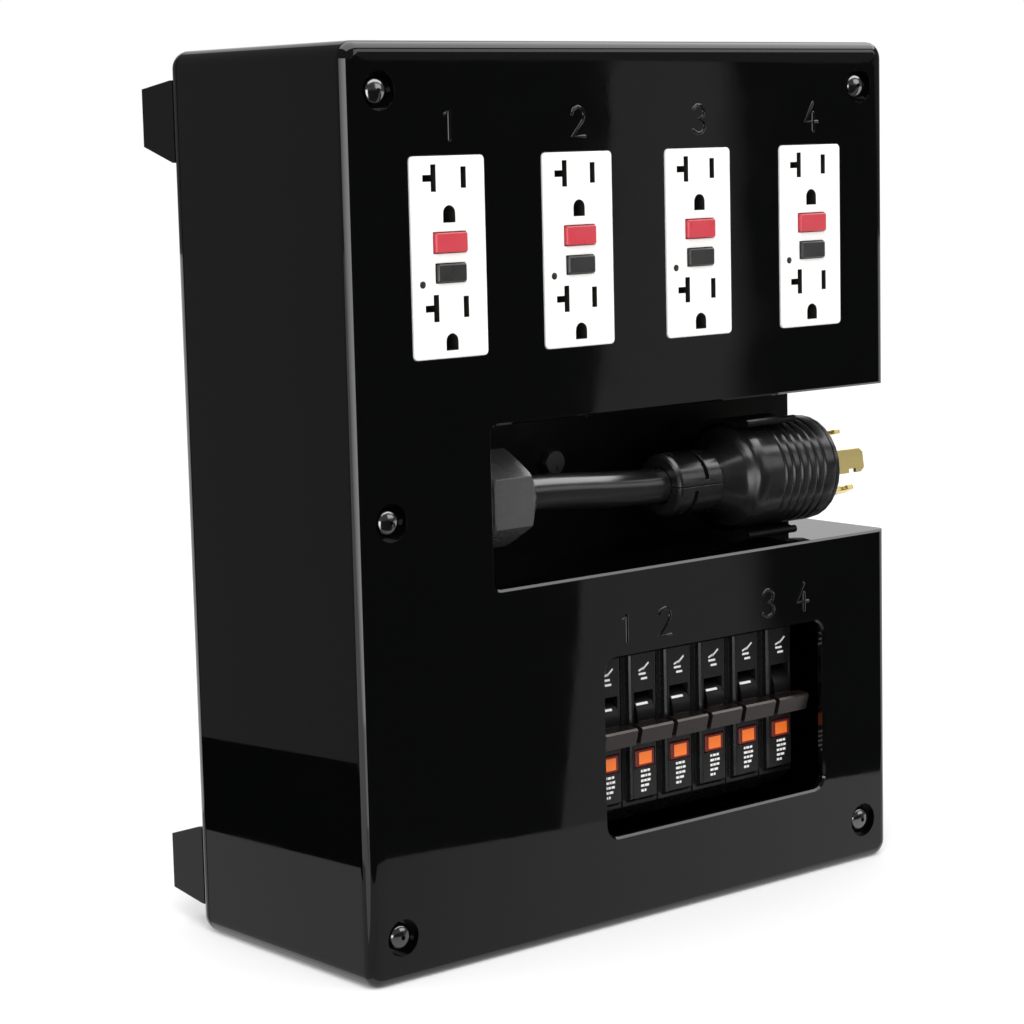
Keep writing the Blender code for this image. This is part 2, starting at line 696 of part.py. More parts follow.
def terminal_bar():
    """A bar with a row of screw wells, lying along X; the local origin is its centre."""
    s = TERMINAL_BAR_SECTION / 2
    bar = block((-TERMINAL_BAR_LENGTH / 2, -s, -s), (TERMINAL_BAR_LENGTH / 2, s, s))
    pitch = TERMINAL_BAR_LENGTH / TERMINAL_COUNT
    for i in range(TERMINAL_COUNT):
        x = pitch * (i - (TERMINAL_COUNT - 1) / 2)
        cut(bar, prism("Y", circle(TERMINAL_RADIUS, (x, 0.0), 8), -2 * s, 0.0))
    return tidy(bar)


# ---------------------------------------------------------------- supply cord


def gland_body():
    """Flange in the recess, thread through the wall and a nose under the nut."""
    bore, thread = GLAND_BORE_RADIUS, GLAND_THREAD_RADIUS
    start = RECESS_LEFT - WALL - GLAND_NOSE_LENGTH
    flange, collar, nose = RECESS_LEFT + GAP, NUT_START - GAP, NUT_START + GLAND_NOSE_LENGTH
    profile = [(start, bore), (start, thread), (flange, thread), (flange, GLAND_FLANGE_RADIUS)]
    profile += [(collar, GLAND_FLANGE_RADIUS), (collar, thread - GLAND_THREAD_STEP)]
    profile += [(nose, thread - GLAND_THREAD_STEP), (nose, bore)]
    return lathe("X", profile, (CORD_Y, GLAND_Z), 24, bored=True)


def hexagon(flats, centre):
    return circle(flats / math.sqrt(3), centre, 6, math.radians(30))


def gland_nut():
    """Hexagonal body, chamfered at both ends, with a domed nose around the cable."""
    centre = (CORD_Y, GLAND_Z)
    apothem = GLAND_NUT_FLATS / 2
    corner = apothem * 2 / math.sqrt(3)
    nut = prism("X", hexagon(GLAND_NUT_FLATS, centre), NUT_START, NUT_HEX_END)
    wide, narrow = corner + NUT_CHAMFER / 4, corner - 2 * NUT_CHAMFER
    low, high = NUT_START - NUT_CHAMFER, NUT_HEX_END + NUT_CHAMFER
    turned = [(low, 0.0), (low, narrow), (NUT_START + NUT_CHAMFER / 2, wide)]
    turned += [(NUT_HEX_END - NUT_CHAMFER / 2, wide), (high, narrow), (high, 0.0)]
    combine(nut, lathe("X", turned, centre, 24), "INTERSECT")
    nose = apothem - NUT_CHAMFER / 2
    dome = [(NUT_HEX_END - WALL, 0.0), (NUT_HEX_END - WALL, nose)]
    for i in range(DOME_STEPS + 1):
        t = i / DOME_STEPS
        dome.append((NUT_HEX_END + (NUT_END - NUT_HEX_END) * t, nose - (nose - NUT_MOUTH) * t * t))
    join(nut, lathe("X", dome + [(NUT_END, 0.0)], centre, 24))
    thread = GLAND_THREAD_RADIUS - GLAND_THREAD_STEP + GAP
    step = NUT_START + GLAND_NOSE_LENGTH + GAP
    bore = [(NUT_START - WALL, 0.0), (NUT_START - WALL, thread), (step, thread), (step, GLAND_BORE_RADIUS)]
    bore += [(NUT_END + WALL, GLAND_BORE_RADIUS), (NUT_END + WALL, 0.0)]
    cut(nut, lathe("X", bore, centre, 24))
    return tidy(nut)


def gland_locknut():
    centre = (CORD_Y, GLAND_Z)
    end = RECESS_LEFT - WALL - GAP
    nut = prism("X", hexagon(GLAND_NUT_FLATS, centre), end - LOCKNUT_THICKNESS, end)
    hole = circle(GLAND_THREAD_RADIUS + GAP, centre, 24)
    return tidy(cut(nut, prism("X", hole, end - REACH, end + REACH)))


def supply_cable():
    """Straight in the gland and in the plug, with an easy S between their heights."""
    start, end = CABLE_START, SHELL_START + CABLE_IN_PLUG
    bend_from, bend_to = NUT_END + GAP, CLAMP_START - GAP
    steps = 8
    places = [(start, GLAND_Z)]
    for i in range(steps + 1):
        t = i / steps
        ease = t * t * (3 - 2 * t)
        places.append((bend_from + (bend_to - bend_from) * t, GLAND_Z + (PLUG_Z - GLAND_Z) * ease))
    places.append((end, PLUG_Z))
    return loft("X", [(x, circle(CABLE_RADIUS, (CORD_Y, z), 16)) for x, z in places])


def cable_clamp():
    """Both jaws of the strain relief as one ring, for splitting into halves."""
    end = SHELL_START - GAP
    inner, outer, edge = CABLE_RADIUS + GAP, CLAMP_RADIUS, CLAMP_EDGE
    profile = [(CLAMP_START, inner), (CLAMP_START, outer - edge)]
    profile += [(CLAMP_START + edge / 3, outer - edge / 3), (CLAMP_START + edge, outer)]
    profile += [(end - edge / 2, outer), (end, outer - edge / 2), (end, inner)]
    return lathe("X", profile, (CORD_Y, PLUG_Z), 24, bored=True)


def clamp_jaw(side, slot_start):
    """The upper (1) or lower (-1) half of the clamp, with the slot that its tightening strap lies in."""
    ring = cable_clamp()
    far = 2 * CLAMP_RADIUS
    parting = PLUG_Z + side * GAP / 2
    z0, z1 = sorted((parting, parting - side * far))
    cut(ring, block((CLAMP_START - far, CORD_Y - far, z0), (SHELL_START + far, CORD_Y + far, z1)))
    slot_x = CLAMP_START + slot_start
    z0, z1 = sorted((PLUG_Z + side * CLAMP_SLOT_WIDTH, PLUG_Z + side * far))
    groove = block((slot_x, CORD_Y - far, z0), (slot_x + CLAMP_SLOT_WIDTH, CORD_Y + far, z1))
    core = circle(CLAMP_RADIUS - CLAMP_SLOT_DEPTH, (CORD_Y, PLUG_Z), 24)
    cut(groove, prism("X", core, slot_x - WALL, slot_x + WALL))
    return tidy(cut(ring, groove))


def plug_shell():
    """Turned grip: a bell-shaped throat, a plain barrel, then ribs, and a blind bore for the cable."""
    r = SHELL_RADIUS
    face = PLUG_FACE_X - PLUG_FACE_THICKNESS
    bore = CABLE_RADIUS + GAP
    bore_end = SHELL_START + CABLE_IN_PLUG + 2 * GAP
    profile = [(bore_end, 0.0), (bore_end, bore), (SHELL_START, bore)]
    profile += [(SHELL_START + along, radius) for along, radius in SHELL_THROAT]
    profile.append((SHOULDER_X, r))
    for i in range(RIB_COUNT):
        rib = RIB_START + RIB_PITCH * i
        profile += [(rib - RIB_GROOVE_WIDTH / 2, r), (rib, r - RIB_GROOVE), (rib + RIB_GROOVE_WIDTH / 2, r)]
    profile += [(face, r), (face, 0.0)]
    return lathe("X", profile, (CORD_Y, PLUG_Z), 24)


def blade_frame(angle):
    """Centre of a blade on its ring, and the way along its width, in Y and Z."""
    a = math.radians(angle)
    centre = (CORD_Y + BLADE_RING_RADIUS * math.cos(a), PLUG_Z + BLADE_RING_RADIUS * math.sin(a))
    return centre, (-math.sin(a), math.cos(a))


def blade_outline(angle, width, thickness):
    (cy, cz), (ty, tz) = blade_frame(angle)
    outline = []
    for along, across in ((-1, -1), (1, -1), (1, 1), (-1, 1)):
        u, v = along * width / 2, across * thickness / 2
        outline.append((cy + u * ty + v * tz, cz + u * tz - v * ty))
    return outline


def plug_face():
    """Dead-front disc with a pocket for each blade."""
    start = PLUG_FACE_X - PLUG_FACE_THICKNESS + GAP
    r, edge = SHELL_RADIUS - PLUG_FACE_INSET, PLUG_FACE_EDGE
    profile = [(start, 0.0), (start, r), (PLUG_FACE_X - edge, r)]
    profile += [(PLUG_FACE_X, r - edge), (PLUG_FACE_X, 0.0)]
    disc = lathe("X", profile, (CORD_Y, PLUG_Z), 28)
    for angle, width in zip(BLADE_ANGLES, BLADE_WIDTHS):
        pocket = blade_outline(angle, width + 2 * GAP, BLADE_THICKNESS + 2 * GAP)
        cut(disc, prism("X", pocket, PLUG_FACE_X - BLADE_POCKET_DEPTH, PLUG_FACE_X + REACH))
    return tidy(disc)


def plug_blade(angle, width, hooked):
    """A locking blade that stands in its pocket; the hooked one has a lug near its tip."""
    start = PLUG_FACE_X - BLADE_POCKET_DEPTH + GAP
    tip = PLUG_FACE_X + BLADE_LENGTH
    full = blade_outline(angle, width, BLADE_THICKNESS)
    narrow = blade_outline(angle, width - 1.5 * BLADE_POINT, BLADE_THICKNESS)
    blade = loft("X", [(start, full), (tip - BLADE_POINT, full), (tip, narrow)])
    (cy, cz), (ty, tz) = blade_frame(angle)
    notch_x = tip - NOTCH_FROM_TIP
    for side in (-1, 1) if not hooked else (1,):
        edge = side * width / 2
        notch = rectangle(2 * NOTCH_DEPTH, 2 * NOTCH_DEPTH, (cy + edge * ty, cz + edge * tz))
        cut(blade, prism("X", notch, notch_x, notch_x + NOTCH_LENGTH))
    return tidy(blade)


def plug_clip():
    """C-shaped spring clip that hugs the plug, with beaded lips and a pad on the recess's back wall."""
    centre = (CORD_Y, PLUG_Z)
    inner, outer = CLIP_INNER_RADIUS, CLIP_INNER_RADIUS + CLIP_THICKNESS
    half = CLIP_HALF_ANGLE
    outline = arc(outer, -half, half, CLIP_STEPS, centre) + arc(inner, half, -half, CLIP_STEPS, centre)
    clip = prism("X", outline, CLIP_LEFT, CLIP_RIGHT)
    middle = inner + CLIP_THICKNESS / 2
    end_y, end_z = middle * math.cos(math.radians(half)), middle * math.sin(math.radians(half))
    for side in (-1, 1):
        root = (CORD_Y + end_y, PLUG_Z + side * end_z)
        tip = (root[0] - CLIP_LIP_REACH, root[1] + side * CLIP_LIP_RISE)
        strip = CLIP_THICKNESS / 2
        lip = [(root[0] + strip, root[1] - strip), (root[0] + strip, root[1] + strip)]
        lip += [(tip[0], tip[1] + strip), (tip[0], tip[1] - strip)]
        join(clip, prism("X", lip, CLIP_LEFT, CLIP_RIGHT))
        join(clip, prism("X", circle(CLIP_BEAD_RADIUS, tip, 10), CLIP_LEFT, CLIP_RIGHT))
    pad = block((CLIP_LEFT + CLIP_PAD_INSET, CORD_Y + middle, PLUG_Z - CLIP_PAD_HALF),
                (CLIP_RIGHT - CLIP_PAD_INSET, FRONT + RECESS_DEPTH - GAP, PLUG_Z + CLIP_PAD_HALF))
    return tidy(join(clip, pad))


def recess_bolt():
    """Hex-head bolt through the recess's back wall; its head's underside is at the local origin."""
    corner, top = BOLT_FLATS / math.sqrt(3), -BOLT_HEAD_HEIGHT - GAP
    head = prism("Y", circle(corner, segments=6), -BOLT_HEAD_HEIGHT, 0.0)
    crown = [(top, 0.0), (top, corner * BOLT_CROWN_TOP), (0.0, corner * BOLT_CROWN_BASE), (GAP, 0.0)]
    combine(head, lathe("Y", crown, segments=16), "INTERSECT")
    shank = prism("Y", circle(BOLT_SHANK_RADIUS, segments=12), -BOLT_HEAD_HEIGHT / 2, BOLT_LENGTH)
    return tidy(join(head, shank))


# ---------------------------------------------------------------- assembly


def build_enclosure(paint):
    finish("enclosure_cover", enclosure_cover(), paint["gloss_black"])
    finish("rear_cover", rear_cover(), paint["gloss_black"])
    head_y = FRONT + COUNTERBORE_DEPTH - GAP
    places = [(x, head_y, z) for x, z in screw_places()]
    finish_row("cover_screw", cover_screw(), paint["steel"], places)


def build_receptacles(paint):
    kinds = {
        "receptacle_body": (receptacle_body(), "white", 0.0, 0.0),
        "receptacle_strap": (receptacle_strap(), "steel", 0.0, 0.0),
        "reset_button": (push_button(RESET_SIZE), "red", -FACE_PROUD, from_top(RESET_DROP)),
        "test_button": (push_button(TEST_SIZE), "test_black", -FACE_PROUD, from_top(TEST_DROP)),
    }
    for kind, (part, colour, dy, dz) in kinds.items():
        places = [(x, FRONT + dy, z + dz) for x, z in receptacle_places()]
        finish_row(kind, part, paint[colour], places)


def build_breakers(paint):
    kinds = {
        "breaker_body": (breaker_body(), "breaker_black", 0.0, 0.0),
        "breaker_handle": (breaker_handle(), "handle_black", PIVOT_Y, PIVOT_Z),
        "trip_indicator": (indicator_window(), "orange", BREAKER_FACE_Y, INDICATOR_Z),
    }
    for kind, (part, colour, y, z) in kinds.items():
        finish_row(kind, part, paint[colour], [(x, y, z) for x in breaker_places()])
    finish("breaker_base", breaker_base(), paint["nylon_black"])
    bus_y = BREAKER_BACK_Y + GAP
    finish_row("bus_bar", bus_bar(), paint["copper"], [(WINDOW_X, bus_y, z) for z in BUS_Z])
    bar_y = REAR - WALL - GAP - TERMINAL_BAR_SECTION / 2
    for name, z in TERMINAL_BAR_Z.items():
        finish(name, terminal_bar(), paint["brass"], (TERMINAL_BAR_X, bar_y, z))


def build_cord(paint):
    finish("gland_body", gland_body(), paint["nylon_black"])
    finish("gland_nut", gland_nut(), paint["nylon_black"])
    finish("gland_locknut", gland_locknut(), paint["nylon_black"])
    finish("supply_cable", supply_cable(), paint["rubber_black"])
    finish("cable_clamp_upper", clamp_jaw(1, UPPER_SLOT_START), paint["nylon_black"])
    finish("cable_clamp_lower", clamp_jaw(-1, LOWER_SLOT_START), paint["nylon_black"])
    finish("plug_shell", plug_shell(), paint["nylon_black"])
    finish("plug_face", plug_face(), paint["nylon_black"])
    for i, (angle, width) in enumerate(zip(BLADE_ANGLES, BLADE_WIDTHS), start=1):
        finish(f"plug_blade_{i}", plug_blade(angle, width, i == 1), paint["brass"])
    finish("plug_clip", plug_clip(), paint["nylon_black"])
    bolt_place = (BOLT_X, FRONT + RECESS_DEPTH - GAP, BOLT_Z)
    finish("recess_bolt", recess_bolt(), paint["steel"], bolt_place)


def main():
    clear_scene()
    paint = {name: make_material(name) for name in COLOURS}
    build_enclosure(paint)
    build_receptacles(paint)
    build_breakers(paint)
    build_cord(paint)


main()
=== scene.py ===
import json
import math

import bmesh
import bpy
from mathutils import Matrix, Vector

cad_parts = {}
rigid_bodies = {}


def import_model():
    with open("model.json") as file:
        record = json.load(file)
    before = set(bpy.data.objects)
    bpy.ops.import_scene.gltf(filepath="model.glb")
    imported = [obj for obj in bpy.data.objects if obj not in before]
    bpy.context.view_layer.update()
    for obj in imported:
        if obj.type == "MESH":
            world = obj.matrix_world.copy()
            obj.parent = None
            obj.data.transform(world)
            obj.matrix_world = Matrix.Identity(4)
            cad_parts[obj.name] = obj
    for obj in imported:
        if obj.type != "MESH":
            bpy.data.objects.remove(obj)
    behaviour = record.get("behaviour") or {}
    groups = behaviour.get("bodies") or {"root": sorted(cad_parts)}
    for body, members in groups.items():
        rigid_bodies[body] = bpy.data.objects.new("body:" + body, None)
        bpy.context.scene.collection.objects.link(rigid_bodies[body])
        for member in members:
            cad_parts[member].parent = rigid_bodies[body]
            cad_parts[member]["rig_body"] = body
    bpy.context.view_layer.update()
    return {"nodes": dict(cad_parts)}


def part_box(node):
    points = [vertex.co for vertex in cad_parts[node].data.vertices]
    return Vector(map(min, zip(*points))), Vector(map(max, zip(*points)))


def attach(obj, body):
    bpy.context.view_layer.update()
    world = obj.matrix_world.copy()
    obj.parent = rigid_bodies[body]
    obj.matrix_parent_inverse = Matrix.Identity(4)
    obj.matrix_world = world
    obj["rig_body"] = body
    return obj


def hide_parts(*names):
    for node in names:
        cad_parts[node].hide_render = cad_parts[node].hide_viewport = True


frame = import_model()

# ---------------------------------------------------------------- sizes, in metres

COVER_SCREWS = 5
RECEPTACLES = 4
BREAKERS = 6
BUS_BARS = 2
PLUG_BLADES = 4

# Shared with the CAD
LEFT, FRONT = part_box("enclosure_cover")[0].xy   # the box's left side and front face
RECESS_LEFT, RECESS_BOTTOM, RECESS_TOP = -0.068, 0.128, 0.184
RECESS_DEEP = 0.04                              # its rear wall lies further behind the front than this
RECEPTACLE_HALF = 0.0332                        # half the height of a receptacle's face
DRUM_RADIUS = 0.0085                            # the barrel that a breaker's handle turns on
DRUM_REACH = DRUM_RADIUS + 0.0001               # the barrel's own faces lie within this of its axis
CORD_Y = FRONT + 0.026                          # the middle of the cable and plug
HAIR = 0.00001
FACING = 0.9                                    # how squarely a face looks along an axis to count

# How CAD surfaces are cleaned: points this close are one, faces this level are one
MERGE = 0.000002
LEVEL = math.radians(0.2)
MOST_SIDES = 8                                  # a face with more sides is split again

# Eased edges: their widths, and the turns in degrees past which an edge counts as sharp
FINE_EASE, EASE = 0.0002, 0.0003
FACE_EASE, LENS_EASE, CASE_EASE = 0.00022, 0.00015, 0.00045
NUT_EASE, LOCKNUT_EASE = 0.0008, 0.0004
SHARP, COVER_SHARP, SCREW_SHARP, CABLE_SHARP, GRIP_SHARP, NUMBER_SHARP = 32.0, 40.0, 25.0, 40.0, 50.0, 60.0

# Cover screws
SCREW_AROUND = 48
SCREW_SEAT = 0.0030                             # from the crown down to the head's underside
SCREW_RIM = 0.0001                              # the chamfer of the head's lower edge
SCREW_SHANK, SCREW_TIP = 0.002, 0.0014          # the radii of the shank and of its end
SCREW_POINT = 0.0006                            # how long the shank's end tapers
SOCKET_FLATS = 0.0022
SOCKET_MOUTH, SOCKET_FLOOR, SOCKET_END = 0.00015, 0.0016, 0.0018    # depths under the crown
DOME_STEPS = 7
DOME_START, DOME_END = math.radians(10), math.radians(82)
DOME_SHARE = 0.96                               # how much of the head's height the dome takes

# Receptacles
SLOT_FIELD = (0.0125, 0.0315)                   # half the width and height that hold the slots
SLOT_DEPTHS = (0.0006, 0.0095)
WELL_HALF = 0.0037                              # half the height of a button's well
LAMP_AROUND = 24
LAMP_ASIDE, LAMP_DROP = -0.0118, 0.0417         # from the face's middle, and below its top
# The lamp's lens: distance behind the face, radius
LAMP_LENS = ((0.0004, 0.0), (0.0004, 0.00125), (-0.00008, 0.0012), (-0.00016, 0.0008), (-0.0002, 0.0))

# Breakers
BAR_LIFT = 0.00006                              # how far a printed bar stands off its surface
# Bars over a handle: right of the case's middle, height, length, width, slant in degrees
SWITCH_BARS = ((0.0012, 0.0894, 0.0036, 0.0007, -38.0), (-0.0011, 0.0884, 0.0026, 0.0007, -20.0),
               (-0.0006, 0.0867, 0.0034, 0.0008, 0.0), (0.0003, 0.0849, 0.0030, 0.0008, 0.0))
# Bars under an indicator, row by row: the lengths that stand in for words
MARK_WORDS = ((0.0009, 0.0016, 0.0012), (0.0019, 0.0008, 0.0014), (0.0012, 0.0012, 0.0015),
              (0.0016, 0.0019), (0.0013, 0.0009))
MARK_LEFT, MARK_GAP, MARK_WIDTH = -0.0020, 0.00035, 0.0009
MARK_TOP, MARK_STEP = 0.0508, 0.0018
# The white bar on each handle's barrel, a painted highlight: its place, size, lift and lean
HIGHLIGHT_ASIDE, HIGHLIGHT_LENGTH, HIGHLIGHT_WIDTH, HIGHLIGHT_LIFT = -0.0010, 0.0056, 0.0009, 0.0001
HIGHLIGHT_LEAN = math.radians(34)
INDICATOR_FRAME = 0.0006
INDICATOR_SHARE = 0.86                          # how much of the frame's opening the lens takes sideways

# Cable and plug; each outline is a row of (along, across) points
CABLE_STEPS, CABLE_AROUND = 40, 48
GRIP_AROUND = 96
BORE_GAP, BORE_PAST = 0.0003, 0.0006            # room round the cable and beyond its end in the plug
# From the shell's left end: its mouth and the bell up to the barrel, distance and radius
MOUTH = ((0.0, 0.0100), (0.0003, 0.0103))
BELL = ((0.0018, 0.0112), (0.0056, 0.0131), (0.0084, 0.0150), (0.0097, 0.0166), (0.0108, 0.0186),
        (0.0124, 0.01985))
BELL_STEPS = 3
# Distance from the left end, from a groove's middle and from the right end, and depth under the barrel
BARREL = ((0.0138, 0.00006), (0.0155, 0.0))
GROOVE = ((-0.0011, 0.0), (-0.0007, 0.00012), (-0.0004, 0.0005), (0.0, 0.0009), (0.0004, 0.0005),
          (0.0007, 0.00012), (0.0011, 0.0))
BRIM = ((0.0006, 0.0), (0.0002, 0.0002), (0.0, 0.0006))
GROOVES, GROOVE_FIRST, GROOVE_PITCH = 6, 0.0241, 0.0042

# Channel numbers
NUMBER_HEIGHT = 0.0100
NUMBER_BEAD = 0.0008                            # the stroke's radius
NUMBER_SUNK = 0.0004                            # how far its centreline lies behind the front
BEAD_AROUND = 10
BEAD_END = (0.96, 0.7, 0.35)                    # rings of a domed end: how far beyond the stroke, in radii
TOP_NUMBERS_ASIDE, TOP_NUMBERS_Z = 0.0012, 0.2848
LOW_NUMBERS_X, LOW_NUMBERS_Z = (-0.0094, 0.0094, 0.0618, 0.0795), 0.1072

# Studio
FLOOR_REACH, FLOOR_WHITE, FLOOR_GLOW = 40.0, 0.90, 0.17
DOME_RADIUS, DOME_GLOW = 6.0, 0.16
KEY_PLACE, KEY_TARGET = (-0.9, -1.1, 1.5), (0.0, 0.0, 0.15)
KEY_SIZE, KEY_POWER = 0.9, 16.0
CEILING_Z = RECESS_TOP - 0.001                  # two small cards lie just under the recess's ceiling

# The card that the front face mirrors: six columns from its foot over a near edge to a wall far in front
FRONT_CARD_Z, FRONT_CARD_TOP = 0.0012, 0.40
FOOT_Y = FRONT - 0.0015
FOOT_X = (-0.127, -0.172, -0.0377, 0.0677, 0.093, 0.2375)
NEAR_EDGE = ((-0.214, -0.172), (-0.060, -0.186), (0.0581, -0.1666), (0.1536, -0.1549), (0.1774, -0.1532),
             (0.300, -0.127))
WALL_Y = -1.5
WALL_LEFT = (-1.596, -2.073)
WALL_BOTTOM_X = (0.75, 1.271, 1.4654, 1.516, 1.95)
WALL_TOP_X = (0.75, 1.302, 1.447, 1.484, 1.95)
WALL_DARK, WALL_BAND = 0.03, 0.36
GROUND_GLOW = ((0.40, 0.40), (0.36, 0.52), (0.52, 0.64), (0.64, 0.68), (0.68, 0.78))

# The cards beside the left wall; the black strip's edges are given by their heights at two places
SIDE_X, SIDE_TOP = -0.166, 0.36
SIDE_ENDS = (-0.03, 0.126)
STRIP_GLOW, SIDE_GLOW = 0.0, 0.165
SLOPE_FRONT, SLOPE_REAR = 0.0115, 0.1125
STRIP_BOTTOM, STRIP_TOP = (0.0236, 0.0197), (0.0616, 0.0559)

# The soft light at the left front bends round the box's corner, from an azimuth of SOFT_FIRST degrees.
# Each bend: radius, height, the azimuth where it ends, how bright the strip from it to the next is.
SOFT_FIRST = 36
SOFT_SHARES, SOFT_GLOW = (0.0, 0.35, 0.7, 1.0), (4.9, 4.4, 3.0, 1.6)
SOFT_BENDS = ((0.15, 0.0014, 50, 0.3), (0.21, 0.0014, 58, 0.6), (0.41, 0.0014, 66, 1.0),
              (0.69, 0.0014, 77, 1.0), (1.11, 0.0014, 88, 1.0), (1.87, 0.0014, 92, 1.0),
              (2.5, 0.0014, 95, 1.0), (2.5, 0.062, 96, 1.0), (2.5, 0.193, 104, 1.0), (2.5, 0.53, 104, 1.0))

# Cards that lie level: two x, two y, height and glow
CARD_OVER = ((-0.7, 1.9), (-0.9, 0.6), 1.2, 3.2)
CARD_BESIDE = ((-0.28, -0.128), (-0.06, 0.22), 0.001, 0.45)
CARD_CEILING = ((-0.026, 0.034), (-0.047, -0.024), CEILING_Z, 6.0)
CARD_CEILING_PLUG = ((0.068, 0.084), (-0.0495, -0.036), CEILING_Z, 5.5)
# Cards that stand on edge: both ends' (x, y), two heights and glow
CARD_RIGHT = ((0.5, -1.6), (2.3, -1.6), (0.60, 1.40), 1.8)
CARD_BACK = ((0.4, 2.6), (6.0, 1.2), (0.0, 3.0), 0.8)

# Camera
CAMERA_PLACE = (-0.6523, -0.7604, 0.2817)
CAMERA_YAW, CAMERA_PITCH, CAMERA_ROLL = 39.833, 7.856, -1.345
CAMERA_LENS, SENSOR_WIDTH = 96.71, 36.0


def mid(node):
    low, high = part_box(node)
    return (low + high) / 2


# ---------------------------------------------------------------- materials

NOISE_LOW, NOISE_HIGH = 0.3, 0.7                # where most of a noise's values lie
WAVE_SCALE = 22.0                               # the slow ripple of a moulded wall
EVEN = (1.0, 1.0, 1.0)
MOTTLE_DETAIL, GLOSS_DETAIL, RELIEF_DETAIL = 4.0, 5.0, 2.0
GLOSS_FINER = 2.3                               # the gloss varies on a finer scale than the colour

FINISHES = {
    "gloss_black": dict(colour=(0.0014, 0.0015, 0.0016), roughness=0.045, spread=0.5, mottle=25.0,
                        grain=700.0, depth=0.0000015, wave=0.00004),
    # The recess's rear wall: rougher, and its low IOR dims its reflections as painted shade
    "recess_dull_and_shade": dict(colour=(0.0016, 0.0017, 0.0018), roughness=0.36, grain=1400.0, depth=0.000012,
                         ior=1.16),
    "clip_black": dict(colour=(0.0026, 0.0026, 0.0028), roughness=0.36, grain=1400.0, depth=0.000012,
                       ior=1.2),
    "screw_steel": dict(colour=(0.20, 0.20, 0.205), roughness=0.15, metallic=1.0, grain=900.0,
                        depth=0.000004),
    "receptacle_white": dict(colour=(0.86, 0.855, 0.83), roughness=0.26, tint=0.015, grain=900.0,
                             depth=0.000004),
    "plated_steel": dict(colour=(0.58, 0.59, 0.60), roughness=0.3, metallic=1.0, grain=500.0,
                         depth=0.00001, stretch=(1.0, 1.0, 0.05)),
    "reset_red": dict(colour=(0.52, 0.038, 0.055), roughness=0.34, tint=0.05, grain=2500.0, depth=0.00001),
    "test_black": dict(colour=(0.024, 0.024, 0.025), roughness=0.34, grain=2500.0, depth=0.00001),
    "breaker_black": dict(colour=(0.008, 0.008, 0.009), roughness=0.26, grain=2200.0, depth=0.000012),
    # The paddle's reddish-brown tint is a painted reflection of the orange indicator below it
    "handle_black": dict(colour=(0.012, 0.0070, 0.0055), roughness=0.26, grain=1800.0, depth=0.00001),
    "barrel_black": dict(colour=(0.0025, 0.0024, 0.0024), roughness=0.34, grain=1800.0, depth=0.00001,
                         ior=1.3),
    "indicator_orange": dict(colour=(0.95, 0.19, 0.02), roughness=0.2, tint=0.04, grain=600.0,
                             depth=0.000005, coat=0.5),
    "indicator_frame": dict(colour=(0.16, 0.012, 0.008), roughness=0.4, grain=1500.0, depth=0.00001),
    "nylon_black": dict(colour=(0.013, 0.013, 0.014), roughness=0.36, grain=1600.0, depth=0.00002),
    "nut_grey": dict(colour=(0.060, 0.060, 0.060), roughness=0.27, grain=1600.0, depth=0.00002),
    "black_steel": dict(colour=(0.060, 0.060, 0.062), roughness=0.3, metallic=0.6, grain=900.0,
                        depth=0.000006),
    "plug_nylon": dict(colour=(0.008, 0.008, 0.009), roughness=0.25, grain=1100.0, depth=0.000012),
    "cable_rubber": dict(colour=(0.009, 0.009, 0.009), roughness=0.22, grain=900.0, depth=0.00003,
                         stretch=(0.08, 1.0, 1.0)),
    "blade_brass": dict(colour=(0.82, 0.66, 0.28), roughness=0.42, metallic=1.0, grain=800.0,
                        depth=0.000008, stretch=(0.06, 1.0, 1.0)),
    "terminal_brass": dict(colour=(0.74, 0.58, 0.30), roughness=0.34, metallic=1.0, grain=500.0,
                           depth=0.00001, stretch=(0.1, 1.0, 1.0)),
    "bus_copper": dict(colour=(0.80, 0.42, 0.28), roughness=0.3, metallic=1.0, grain=500.0,
                       depth=0.00001, stretch=(0.1, 1.0, 1.0)),
    # Inside the slots: near black, partly the dark contacts and partly painted shade on the white slot
    # walls
    "slot_dark_and_shade": dict(colour=(0.012, 0.011, 0.010), roughness=0.6, grain=900.0, depth=0.00002),
    "lamp_dark": dict(colour=(0.030, 0.024, 0.020), roughness=0.12, grain=800.0, depth=0.000003, coat=0.6),
    # Printed marks, and also the painted highlight bars on the handle barrels
    "label_white": dict(colour=(0.80, 0.80, 0.78), roughness=0.5, tint=0.05, grain=4000.0, depth=0.000004),
}


def noise_node(tree, scale, detail, stretch):
    place = tree.nodes.new("ShaderNodeTexCoord")
    mapping = tree.nodes.new("ShaderNodeMapping")
    mapping.inputs["Scale"].default_value = stretch
    noise = tree.nodes.new("ShaderNodeTexNoise")
    noise.inputs["Scale"].default_value = scale
    noise.inputs["Detail"].default_value = detail
    tree.links.new(place.outputs["Object"], mapping.inputs["Vector"])
    tree.links.new(mapping.outputs["Vector"], noise.inputs["Vector"])
    return noise


def ramp_input(tree, noise, low, high):
    """Turns a noise into a value that runs from low to high."""
    node = tree.nodes.new("ShaderNodeMapRange")
    node.inputs["From Min"].default_value = NOISE_LOW
    node.inputs["From Max"].default_value = NOISE_HIGH
    node.inputs["To Min"].default_value = low
    node.inputs["To Max"].default_value = high
    tree.links.new(noise.outputs["Fac"], node.inputs["Value"])
    return node.outputs["Result"]


